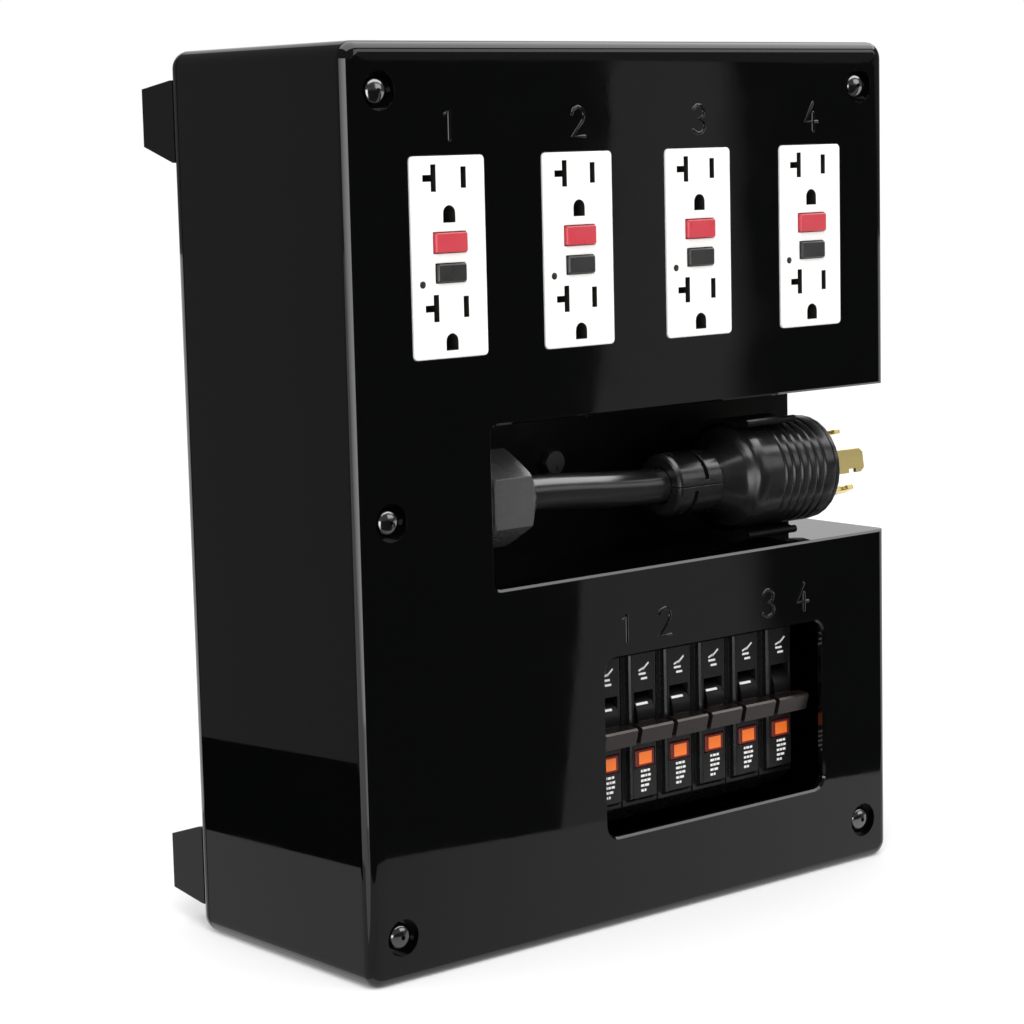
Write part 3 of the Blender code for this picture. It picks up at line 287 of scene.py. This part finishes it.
def add_relief(tree, shader, reliefs):
    """Chains a bump for each (scale, height, stretch) that has a height."""
    normal = None
    for scale, height, stretch in reliefs:
        if height:
            bump = tree.nodes.new("ShaderNodeBump")
            bump.inputs["Strength"].default_value = 1.0
            bump.inputs["Distance"].default_value = height
            noise = noise_node(tree, scale, RELIEF_DETAIL, stretch)
            tree.links.new(noise.outputs["Fac"], bump.inputs["Height"])
            if normal is not None:
                tree.links.new(normal, bump.inputs["Normal"])
            normal = bump.outputs["Normal"]
    tree.links.new(normal, shader.inputs["Normal"])


def finish_material(name, colour, roughness, grain, depth, spread=0.25, mottle=60.0, tint=0.12,
                    metallic=0.0, stretch=EVEN, wave=0.0, ior=1.5, coat=0.0):
    """A finish with mottled colour, uneven gloss and a relief of grain, brushing or waves."""
    material = bpy.data.materials.new(name)
    material.use_nodes = True
    tree = material.node_tree
    shader = tree.nodes["Principled BSDF"]
    shader.inputs["Metallic"].default_value = metallic
    shader.inputs["IOR"].default_value = ior
    shader.inputs["Coat Weight"].default_value = coat
    mix = tree.nodes.new("ShaderNodeMix")
    mix.data_type = "RGBA"
    mix.inputs["A"].default_value = tuple(c * (1 - tint) for c in colour) + (1.0,)
    mix.inputs["B"].default_value = tuple(min(1.0, c * (1 + tint)) for c in colour) + (1.0,)
    tree.links.new(noise_node(tree, mottle, MOTTLE_DETAIL, stretch).outputs["Fac"], mix.inputs["Factor"])
    tree.links.new(mix.outputs["Result"], shader.inputs["Base Color"])
    gloss = noise_node(tree, mottle * GLOSS_FINER, GLOSS_DETAIL, stretch)
    tree.links.new(ramp_input(tree, gloss, roughness * (1 - spread), roughness * (1 + spread)),
                   shader.inputs["Roughness"])
    add_relief(tree, shader, ((grain, depth, stretch), (WAVE_SCALE, wave, EVEN)))
    return material


PAINT = {name: finish_material(name, **finish) for name, finish in FINISHES.items()}


# ---------------------------------------------------------------- pieces


def add_piece(name, source, paint, body="root", node=None, bevel=0.0, sharp=SHARP):
    """Puts a bmesh in the scene as a shaded piece that rides on a body."""
    paints = [paint] if isinstance(paint, str) else paint
    mesh = bpy.data.meshes.new(name)
    source.to_mesh(mesh)
    source.free()
    mesh.shade_smooth()
    mesh.set_sharp_from_angle(angle=math.radians(sharp))
    piece = bpy.data.objects.new(name, mesh)
    bpy.context.scene.collection.objects.link(piece)
    for entry in paints:
        mesh.materials.append(PAINT[entry])
    if bevel:
        rounding = piece.modifiers.new("edges", "BEVEL")
        rounding.width = bevel
        rounding.segments = 3
        rounding.limit_method = "ANGLE"
        rounding.angle_limit = math.radians(sharp)
        rounding.harden_normals = True
        rounding.miter_outer = "MITER_ARC"
    shading = piece.modifiers.new("shading", "WEIGHTED_NORMAL")
    shading.keep_sharp = True
    shading.weight = 100
    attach(piece, body)
    if node:
        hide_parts(node)


def from_node(node):
    """The CAD node's surface with its triangles merged back into whole faces."""
    shape = bmesh.new()
    shape.from_mesh(frame["nodes"][node].data)
    bmesh.ops.remove_doubles(shape, verts=shape.verts, dist=MERGE)
    bmesh.ops.dissolve_limit(shape, angle_limit=LEVEL, verts=shape.verts, edges=shape.edges)
    many_sided = [face for face in shape.faces if len(face.verts) > MOST_SIDES]
    bmesh.ops.triangulate(shape, faces=many_sided, ngon_method="BEAUTY")
    return shape


def body_of(node):
    return frame["nodes"][node]["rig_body"]


def skin(node, shape, paint, bevel, sharp=SHARP):
    """A piece that takes a CAD node's place and rides on the same body."""
    add_piece("skin_" + node, shape, paint, body_of(node), node, bevel, sharp)


def refine(node, paint, bevel, sharp=SHARP):
    """The CAD node's own shape, smooth-shaded and with its sharp edges eased."""
    skin(node, from_node(node), paint, bevel, sharp)


def lathe(profile, axis, centre, segments):
    """A turned solid from (along, radius) points that start and end on the axis.

    A radius may be a function of the angle."""
    shape = bmesh.new()
    order = {"X": (0, 1, 2), "Y": (1, 0, 2)}[axis]
    rings = []
    for along, radius in profile:
        ring = []
        for i in range(segments if callable(radius) or radius > 0 else 1):
            angle = 2 * math.pi * i / segments
            r = radius(angle) if callable(radius) else radius
            point = [0.0, 0.0, 0.0]
            point[order[0]] = along
            point[order[1]] = centre[0] + r * math.cos(angle)
            point[order[2]] = centre[1] + r * math.sin(angle)
            ring.append(shape.verts.new(point))
        rings.append(ring)
    for a, b in zip(rings, rings[1:]):
        for i in range(segments):
            j = (i + 1) % segments
            corners = [a[0]] if len(a) == 1 else [a[i], a[j]]
            corners += [b[0]] if len(b) == 1 else [b[j], b[i]]
            shape.faces.new(corners)
    bmesh.ops.recalc_face_normals(shape, faces=shape.faces)
    return shape


def join_rings(shape, rings):
    """Closes a row of equal rings of points into a tube with flat ends."""
    around = len(rings[0])
    for a, b in zip(rings, rings[1:]):
        for k in range(around):
            shape.faces.new((a[k], a[(k + 1) % around], b[(k + 1) % around], b[k]))
    shape.faces.new(rings[0])
    shape.faces.new(rings[-1])


# ---------------------------------------------------------------- enclosure


def dress_cover():
    """Gloss cover; the rear wall of its recess is rougher and reflects far less, which is painted shade.
    """
    shape = from_node("enclosure_cover")
    for face in shape.faces:
        spot = face.calc_center_median()
        # Faces of the recess's rear wall take the dimmer finish, which paints shade there
        faces_front = -face.normal.y > FACING and spot.y > FRONT + RECESS_DEEP
        if faces_front and spot.x > RECESS_LEFT and RECESS_BOTTOM < spot.z < RECESS_TOP:
            face.material_index = 1
    skin("enclosure_cover", shape, ["gloss_black", "recess_dull_and_shade"], EASE, COVER_SHARP)


def hexagonal(flats):
    """The radius of a hexagon at an angle."""
    def radius(angle):
        turn = (angle + math.pi / 6) % (math.pi / 3) - math.pi / 6
        return flats / 2 / math.cos(turn)
    return radius


def cover_screw(index):
    """Button-head screw with a rounded rim and a hex socket."""
    node = f"cover_screw_{index}"
    low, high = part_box(node)
    centre = mid(node)
    r = (high.x - low.x) / 2
    crown, seat = low.y, low.y + SCREW_SEAT
    socket = hexagonal(SOCKET_FLATS)
    profile = [(crown + SOCKET_END, 0.0), (crown + SOCKET_FLOOR, socket), (crown + SOCKET_MOUTH, socket)]
    for i in range(DOME_STEPS + 1):
        angle = DOME_START + (DOME_END - DOME_START) * i / DOME_STEPS
        along = crown + SCREW_SEAT * (1 - math.cos(angle)) * DOME_SHARE
        profile.append((along, r * math.sin(angle) / math.sin(DOME_END)))
    profile += [(seat - SCREW_RIM, r), (seat, r - SCREW_RIM), (seat, SCREW_SHANK)]
    profile += [(high.y - SCREW_POINT, SCREW_SHANK), (high.y, SCREW_TIP), (high.y, 0.0)]
    shape = lathe(profile, "Y", (centre.x, centre.z), SCREW_AROUND)
    add_piece(f"screw_{index}", shape, "screw_steel", node=node, sharp=SCREW_SHARP)


def dress_enclosure():
    dress_cover()
    refine("rear_cover", "gloss_black", EASE, COVER_SHARP)
    for index in range(1, COVER_SCREWS + 1):
        cover_screw(index)


# ---------------------------------------------------------------- receptacles


def dress_receptacle(index):
    """White face with slots darkened inside, partly for their dark contacts and partly as painted shade,
    and its indicator lens.
    """
    node = f"receptacle_body_{index}"
    shape = from_node(node)
    face_y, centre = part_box(node)[0].y, mid(node)
    wells = [mid(f"{kind}_button_{index}").z for kind in ("reset", "test")]
    for face in shape.faces:
        spot = face.calc_center_median()
        in_field = abs(spot.x - centre.x) < SLOT_FIELD[0] and abs(spot.z - centre.z) < SLOT_FIELD[1]
        in_well = any(abs(spot.z - z) < WELL_HALF for z in wells)
        # Faces deep inside the slots take the dark finish: painted shade on the walls, with the dark
        # contacts further in
        if in_field and not in_well and SLOT_DEPTHS[0] < spot.y - face_y < SLOT_DEPTHS[1]:
            face.material_index = 1
    skin(node, shape, ["receptacle_white", "slot_dark_and_shade"], FACE_EASE)
    lens = [(face_y + along, radius) for along, radius in LAMP_LENS]
    place = (centre.x + LAMP_ASIDE, centre.z + RECEPTACLE_HALF - LAMP_DROP)
    add_piece(f"lamp_{index}", lathe(lens, "Y", place, LAMP_AROUND), "lamp_dark")


def dress_receptacles():
    for index in range(1, RECEPTACLES + 1):
        dress_receptacle(index)
        refine(f"receptacle_strap_{index}", "plated_steel", FINE_EASE)
        refine(f"reset_button_{index}", "reset_red", EASE)
        refine(f"test_button_{index}", "test_black", EASE)


# ---------------------------------------------------------------- breakers


def drum_centre(index):
    """The (y, z) that a breaker's handle turns about."""
    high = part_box(f"breaker_handle_{index}")[1]
    return high.y - DRUM_RADIUS, high.z - DRUM_RADIUS


def add_bar(shape, place, length, width, slant=0.0, lean=0.0, lift=BAR_LIFT):
    """A thin printed bar that faces -Y, slanted in its plane and leaning back."""
    turn = Matrix.Rotation(lean, 4, "X") @ Matrix.Rotation(math.radians(slant), 4, "Y")
    size = Matrix.Diagonal((length, 2 * lift, width, 1.0))
    bmesh.ops.create_cube(shape, size=1.0, matrix=Matrix.Translation(place) @ turn @ size)


def dress_indicator(node):
    """Orange lens in a dark red frame."""
    shape = from_node(node)
    front_y = min(vert.co.y for vert in shape.verts)
    front = [face for face in shape.faces if all(vert.co.y < front_y + HAIR for vert in face.verts)]
    for face in shape.faces:
        face.material_index = 1
    bmesh.ops.inset_region(shape, faces=front, thickness=INDICATOR_FRAME)
    for face in front:
        face.material_index = 0
    middle = mid(node).x
    for vert in {vert for face in front for vert in face.verts}:
        vert.co.x = middle + (vert.co.x - middle) * INDICATOR_SHARE
    skin(node, shape, ["indicator_orange", "indicator_frame"], LENS_EASE)


def dress_handle(index):
    """Paddle tinted brownish, a painted reflection of the orange lens below it, on a darker barrel."""
    node = f"breaker_handle_{index}"
    shape = from_node(node)
    y, z = drum_centre(index)
    for face in shape.faces:
        spot = face.calc_center_median()
        if math.hypot(spot.y - y, spot.z - z) < DRUM_REACH:
            face.material_index = 1
    skin(node, shape, ["handle_black", "barrel_black"], EASE)


def mark_case(index):
    """Printed bars on a breaker's case, which stand in for its symbols and rating marks."""
    node = f"breaker_body_{index}"
    x, y = mid(node).x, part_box(node)[0].y
    shape = bmesh.new()
    for aside, z, length, width, slant in SWITCH_BARS:
        add_bar(shape, (x + aside, y, z), length, width, slant)
    for row, words in enumerate(MARK_WORDS):
        start = x + MARK_LEFT
        for length in words:
            add_bar(shape, (start + length / 2, y, MARK_TOP - MARK_STEP * row), length, MARK_WIDTH)
            start += length + MARK_GAP
    add_piece(f"marks_{index}", shape, "label_white")


def stripe_handle(index):
    """A white bar on the top of a handle's barrel: a painted highlight where the round barrel catches the
    light.
    """
    y, z = drum_centre(index)
    place = (mid(f"breaker_body_{index}").x + HIGHLIGHT_ASIDE,
             y - DRUM_RADIUS * math.cos(HIGHLIGHT_LEAN), z + DRUM_RADIUS * math.sin(HIGHLIGHT_LEAN))
    shape = bmesh.new()
    add_bar(shape, place, HIGHLIGHT_LENGTH, HIGHLIGHT_WIDTH, lean=-HIGHLIGHT_LEAN, lift=HIGHLIGHT_LIFT)
    add_piece(f"barrel_highlight_{index}", shape, "label_white", body_of(f"breaker_handle_{index}"))


def dress_breakers():
    for index in range(1, BREAKERS + 1):
        refine(f"breaker_body_{index}", "breaker_black", CASE_EASE)
        dress_handle(index)
        dress_indicator(f"trip_indicator_{index}")
        mark_case(index)
        if index < BREAKERS:                    # the last handle gets no painted highlight
            stripe_handle(index)
    refine("breaker_base", "nylon_black", EASE)
    for index in range(1, BUS_BARS + 1):
        refine(f"bus_bar_{index}", "bus_copper", FINE_EASE)
    refine("neutral_bar", "terminal_brass", EASE)
    refine("ground_bar", "terminal_brass", EASE)


# ---------------------------------------------------------------- cord


def eased(t):
    return t * t * (3 - 2 * t)


def cable():
    """Round jacket that dips gently from the gland to the plug."""
    low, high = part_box("supply_cable")
    gland, plug = mid("gland_body").z, mid("plug_shell").z
    bend = (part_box("gland_nut")[1].x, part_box("cable_clamp_upper")[0].x)
    radius = (high.y - low.y) / 2
    turns = [2 * math.pi * k / CABLE_AROUND for k in range(CABLE_AROUND)]
    shape = bmesh.new()
    rings = []
    for i in range(CABLE_STEPS + 1):
        x = low.x + (high.x - low.x) * i / CABLE_STEPS
        t = min(1.0, max(0.0, (x - bend[0]) / (bend[1] - bend[0])))
        z = gland + (plug - gland) * eased(t)
        rings.append([shape.verts.new((x, CORD_Y + radius * math.cos(a), z + radius * math.sin(a)))
                      for a in turns])
    join_rings(shape, rings)
    bmesh.ops.recalc_face_normals(shape, faces=shape.faces)
    add_piece("cable_jacket", shape, "cable_rubber", node="supply_cable", sharp=CABLE_SHARP)


def smoothed(profile, fixed):
    """The profile with its radii averaged twice with their neighbours', after the first few points."""
    soft = list(profile)
    for _ in range(2):
        for i in range(fixed + 1, len(soft) - 1):
            soft[i] = (soft[i][0], (soft[i - 1][1] + 2 * soft[i][1] + soft[i + 1][1]) / 4)
    return soft


def plug_grip():
    """Turned grip: smooth bell, barrel, and rounded ribs."""
    low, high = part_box("plug_shell")
    r = (high.y - low.y) / 2
    cable_low, cable_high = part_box("supply_cable")
    bore, bore_end = (cable_high.y - cable_low.y) / 2 + BORE_GAP, cable_high.x + BORE_PAST
    profile = [(bore_end, 0.0), (bore_end, bore), (low.x, bore)]
    profile += [(low.x + along, radius) for along, radius in MOUTH]
    fixed = len(profile)
    for (x0, r0), (x1, r1) in zip(BELL, BELL[1:]):
        shares = [k / BELL_STEPS for k in range(BELL_STEPS)]
        profile += [(low.x + x0 + (x1 - x0) * share, r0 + (r1 - r0) * share) for share in shares]
    profile = smoothed(profile, fixed)
    profile += [(low.x + along, r - deep) for along, deep in BARREL]
    for i in range(GROOVES):
        middle = low.x + GROOVE_FIRST + GROOVE_PITCH * i
        profile += [(middle + along, r - deep) for along, deep in GROOVE]
    profile += [(high.x - along, r - deep) for along, deep in BRIM] + [(high.x, 0.0)]
    shape = lathe(profile, "X", (CORD_Y, mid("plug_shell").z), GRIP_AROUND)
    add_piece("plug_grip", shape, "plug_nylon", node="plug_shell", sharp=GRIP_SHARP)


def dress_cord():
    refine("gland_body", "nylon_black", EASE)
    refine("gland_nut", "nut_grey", NUT_EASE)
    refine("gland_locknut", "nylon_black", LOCKNUT_EASE)
    cable()
    refine("cable_clamp_upper", "plug_nylon", FINE_EASE)
    refine("cable_clamp_lower", "plug_nylon", FINE_EASE)
    plug_grip()
    refine("plug_face", "plug_nylon", FINE_EASE)
    for index in range(1, PLUG_BLADES + 1):
        refine(f"plug_blade_{index}", "blade_brass", FINE_EASE)
    refine("plug_clip", "clip_black", FINE_EASE)
    refine("recess_bolt", "black_steel", EASE)


# ---------------------------------------------------------------- channel numbers

# Each digit's lines on a box one unit high, round its middle.
STROKES = {
    "1": [[(-0.12, 0.34), (0.06, 0.5), (0.06, -0.5)]],
    "2": [[(-0.28, 0.26), (-0.2, 0.43), (0.0, 0.5), (0.2, 0.43), (0.28, 0.24), (0.2, 0.02),
           (-0.28, -0.5), (0.3, -0.5)]],
    "3": [[(-0.26, 0.36), (-0.1, 0.49), (0.12, 0.48), (0.26, 0.3), (0.2, 0.1), (0.0, 0.02),
           (0.22, -0.08), (0.3, -0.28), (0.16, -0.46), (-0.06, -0.5), (-0.28, -0.38)]],
    "4": [[(0.1, 0.5), (-0.3, -0.18), (0.34, -0.18)], [(0.12, 0.14), (0.12, -0.5)]],
}


def stroke_tube(shape, points):
    """A round bead along a line of points, with domed ends."""
    radius, depth = NUMBER_BEAD, Vector((0.0, 1.0, 0.0))
    path = [Vector(p) for p in points]
    first, last = (path[0] - path[1]).normalized(), (path[-1] - path[-2]).normalized()
    rings = [(path[0] + first * radius * step, radius * math.sqrt(1 - step * step), -first)
             for step in BEAD_END]
    for i, point in enumerate(path):
        way = (path[min(i + 1, len(path) - 1)] - path[max(i - 1, 0)]).normalized()
        rings.append((point, radius, way))
    rings += [(path[-1] + last * radius * step, radius * math.sqrt(1 - step * step), last)
              for step in reversed(BEAD_END)]
    turns = [2 * math.pi * k / BEAD_AROUND for k in range(BEAD_AROUND)]
    loops = []
    for centre, r, way in rings:
        side = way.cross(depth).normalized()
        loops.append([shape.verts.new(centre + (side * math.cos(a) + depth * math.sin(a)) * r)
                      for a in turns])
    join_rings(shape, loops)


def channel_number(name, digit, x, z):
    """A plain moulded number that stands a little proud of the front."""
    shape = bmesh.new()
    for line in STROKES[digit]:
        stroke_tube(shape, [(x + u * NUMBER_HEIGHT, FRONT + NUMBER_SUNK, z + v * NUMBER_HEIGHT)
                            for u, v in line])
    bmesh.ops.recalc_face_normals(shape, faces=shape.faces)
    add_piece(name, shape, "gloss_black", sharp=NUMBER_SHARP)


def number_channels():
    """Numbers over the receptacles and over the breaker window."""
    for index in range(1, RECEPTACLES + 1):
        over = mid(f"receptacle_body_{index}").x + TOP_NUMBERS_ASIDE
        channel_number(f"number_top_{index}", str(index), over, TOP_NUMBERS_Z)
    for index, x in enumerate(LOW_NUMBERS_X, start=1):
        channel_number(f"number_low_{index}", str(index), x, LOW_NUMBERS_Z)


# ---------------------------------------------------------------- studio

BLACK = (0.0, 0.0, 0.0)


def stage_mesh(name, mesh, material, glossy_only=True):
    """A part of the studio; a card that only shows in reflections lights and shades nothing."""
    mesh.materials.append(material)
    sheet = bpy.data.objects.new(name, mesh)
    bpy.context.scene.collection.objects.link(sheet)
    if glossy_only:
        sheet.visible_camera = False
        sheet.visible_diffuse = False
        sheet.visible_shadow = False
        sheet.visible_transmission = False
        sheet.visible_volume_scatter = False


def matt(name, colour, emission):
    """A surface that mirrors nothing, and may glow."""
    material = bpy.data.materials.new(name)
    material.use_nodes = True
    shader = material.node_tree.nodes["Principled BSDF"]
    shader.inputs["Base Color"].default_value = (*colour, 1.0)
    shader.inputs["Roughness"].default_value = 0.95
    shader.inputs["Specular IOR Level"].default_value = 0.0
    shader.inputs["Emission Color"].default_value = (1.0, 1.0, 1.0, 1.0)
    shader.inputs["Emission Strength"].default_value = emission
    return material


def glow_card(name, rows, levels):
    """A glossy-only card with one point for each row and column.

    A level is the glow at the left and right edges of a cell, which runs evenly between them."""
    mesh = bpy.data.meshes.new(name)
    width = len(rows[0])
    faces = []
    for i in range(len(rows) - 1):
        for j in range(width - 1):
            corner = i * width + j
            faces.append((corner, corner + 1, corner + 1 + width, corner + width))
    mesh.from_pydata([point for row in rows for point in row], [], faces)
    glow = mesh.color_attributes.new("glow", "FLOAT_COLOR", "CORNER")
    for face in mesh.polygons:
        row, column = divmod(face.index, width - 1)
        left, right = levels[row][column]
        for loop in face.loop_indices:
            value = left if mesh.loops[loop].vertex_index % width == column else right
            glow.data[loop].color = (value, value, value, 1.0)
    material = matt(name, BLACK, 1.0)
    tree = material.node_tree
    source = tree.nodes.new("ShaderNodeAttribute")
    source.attribute_name = "glow"
    tree.links.new(source.outputs["Color"], tree.nodes["Principled BSDF"].inputs["Emission Color"])
    stage_mesh(name, mesh, material)


def flat_card(name, corners, level):
    """A glossy-only card of one brightness."""
    mesh = bpy.data.meshes.new(name)
    mesh.from_pydata(corners, [], [tuple(range(len(corners)))])
    stage_mesh(name, mesh, matt(name, BLACK, level))


def level_card(name, x, y, z, level):
    """A flat card that lies level, between two x and two y."""
    flat_card(name, [(x[0], y[0], z), (x[1], y[0], z), (x[1], y[1], z), (x[0], y[1], z)], level)


def upright_card(name, left, right, z, level):
    """A flat card that stands on edge between two (x, y) points and two heights."""
    flat_card(name, [(*left, z[0]), (*right, z[0]), (*right, z[1]), (*left, z[1])], level)


def build_floor():
    mesh = bpy.data.meshes.new("floor")
    corners = [(x * FLOOR_REACH, y * FLOOR_REACH, 0.0) for x, y in ((-1, -1), (1, -1), (1, 1), (-1, 1))]
    mesh.from_pydata(corners, [], [(0, 1, 2, 3)])
    stage_mesh("floor", mesh, matt("floor", (FLOOR_WHITE,) * 3, FLOOR_GLOW), glossy_only=False)


def build_dome():
    """The dim studio all round, seen only in reflections."""
    shape = bmesh.new()
    bmesh.ops.create_uvsphere(shape, u_segments=32, v_segments=16, radius=DOME_RADIUS)
    mesh = bpy.data.meshes.new("dome")
    shape.to_mesh(mesh)
    shape.free()
    stage_mesh("dome", mesh, matt("dome", BLACK, DOME_GLOW))


def build_front_card():
    """Pale ground before the front face, then dark ground and a dark wall crossed by a paler band."""
    foot = [(x, FOOT_Y) for x in FOOT_X]
    corner = [WALL_LEFT] + [(x, WALL_Y) for x in WALL_BOTTOM_X]
    top = [WALL_LEFT] + [(x, WALL_Y) for x in WALL_TOP_X]
    rows = [[(x, y, FRONT_CARD_Z) for x, y in line] for line in (foot, NEAR_EDGE, corner)]
    rows.append([(x, y, FRONT_CARD_TOP) for x, y in top])
    dark = (WALL_DARK, WALL_DARK)
    wall = (dark, dark, (WALL_BAND, WALL_BAND), (WALL_BAND, WALL_DARK), dark)
    glow_card("card_front", rows, [GROUND_GLOW, wall, wall])


def strip_edge(heights):
    """Both ends of a sloping edge of the side card's strip, from its heights at two places."""
    slope = (heights[1] - heights[0]) / (SLOPE_REAR - SLOPE_FRONT)
    return [(SIDE_X, y, heights[0] + slope * (y - SLOPE_FRONT)) for y in SIDE_ENDS]


def build_side_cards():
    """Cards close beside the left wall: dim above, a black strip, open at the foot, and pale ground."""
    bottom, middle = strip_edge(STRIP_BOTTOM), strip_edge(STRIP_TOP)
    top = [(SIDE_X, y, SIDE_TOP) for y in SIDE_ENDS]
    flat_card("card_side_low", bottom + middle[::-1], STRIP_GLOW)
    flat_card("card_side_high", middle + top[::-1], SIDE_GLOW)
    level_card("card_side_floor", *CARD_BESIDE)


def build_left_glow():
    """A tall soft light at the left front, brightest at its right edge and narrower near the ground."""
    rows, strips = [], []
    for radius, z, last, dim in SOFT_BENDS:
        turns = [math.radians(SOFT_FIRST + (last - SOFT_FIRST) * share) for share in SOFT_SHARES]
        rows.append([(LEFT - radius * math.sin(turn), FRONT - radius * math.cos(turn), z)
                     for turn in turns])
        strips.append([(left * dim, right * dim) for left, right in zip(SOFT_GLOW, SOFT_GLOW[1:])])
    glow_card("glow_left", rows, strips[:-1])


def add_light(name, place, target, size, power):
    """A square soft light that reflections don't show."""
    data = bpy.data.lights.new(name, "AREA")
    data.shape = "SQUARE"
    data.size = size
    data.energy = power
    lamp = bpy.data.objects.new(name, data)
    bpy.context.scene.collection.objects.link(lamp)
    lamp.location = place
    lamp.rotation_euler = (Vector(target) - Vector(place)).to_track_quat("-Z", "Y").to_euler()
    lamp.visible_camera = False
    lamp.visible_glossy = False


def light_world():
    """Even white light from all round, which reflections don't show."""
    world = bpy.data.worlds.new("studio")
    bpy.context.scene.world = world
    world.use_nodes = True
    background = world.node_tree.nodes["Background"]
    background.inputs["Color"].default_value = (1.0, 1.0, 1.0, 1.0)
    background.inputs["Strength"].default_value = 1.0
    world.cycles_visibility.glossy = False
    bpy.context.scene.view_settings.view_transform = "Standard"


def build_studio():
    build_floor()
    build_dome()
    build_front_card()
    build_side_cards()
    level_card("glow_over", *CARD_OVER)
    upright_card("glow_right", *CARD_RIGHT)
    upright_card("glow_back", *CARD_BACK)
    build_left_glow()
    level_card("glow_ceiling", *CARD_CEILING)
    level_card("glow_ceiling_plug", *CARD_CEILING_PLUG)
    add_light("key", KEY_PLACE, KEY_TARGET, KEY_SIZE, KEY_POWER)
    light_world()


def build_camera():
    """The photograph's view: from the left front, a little above the box's middle."""
    yaw, pitch, roll = (math.radians(a) for a in (CAMERA_YAW, CAMERA_PITCH, CAMERA_ROLL))
    level = Matrix(((1, 0, 0), (0, 0, -1), (0, 1, 0)))
    turn = Matrix.Rotation(yaw, 3, "Z")
    tilt = Matrix.Rotation(pitch, 3, "X")
    bank = Matrix.Rotation(roll, 3, "Z")
    view = bank @ tilt @ level @ turn
    data = bpy.data.cameras.new("camera")
    data.sensor_width = SENSOR_WIDTH
    data.lens = CAMERA_LENS
    camera = bpy.data.objects.new("camera", data)
    bpy.context.scene.collection.objects.link(camera)
    columns = Matrix((view[0], -view[1], -view[2])).transposed()
    camera.matrix_world = Matrix.Translation(CAMERA_PLACE) @ columns.to_4x4()
    bpy.context.scene.camera = camera


dress_enclosure()
dress_receptacles()
dress_breakers()
dress_cord()
number_channels()
build_studio()
build_camera()
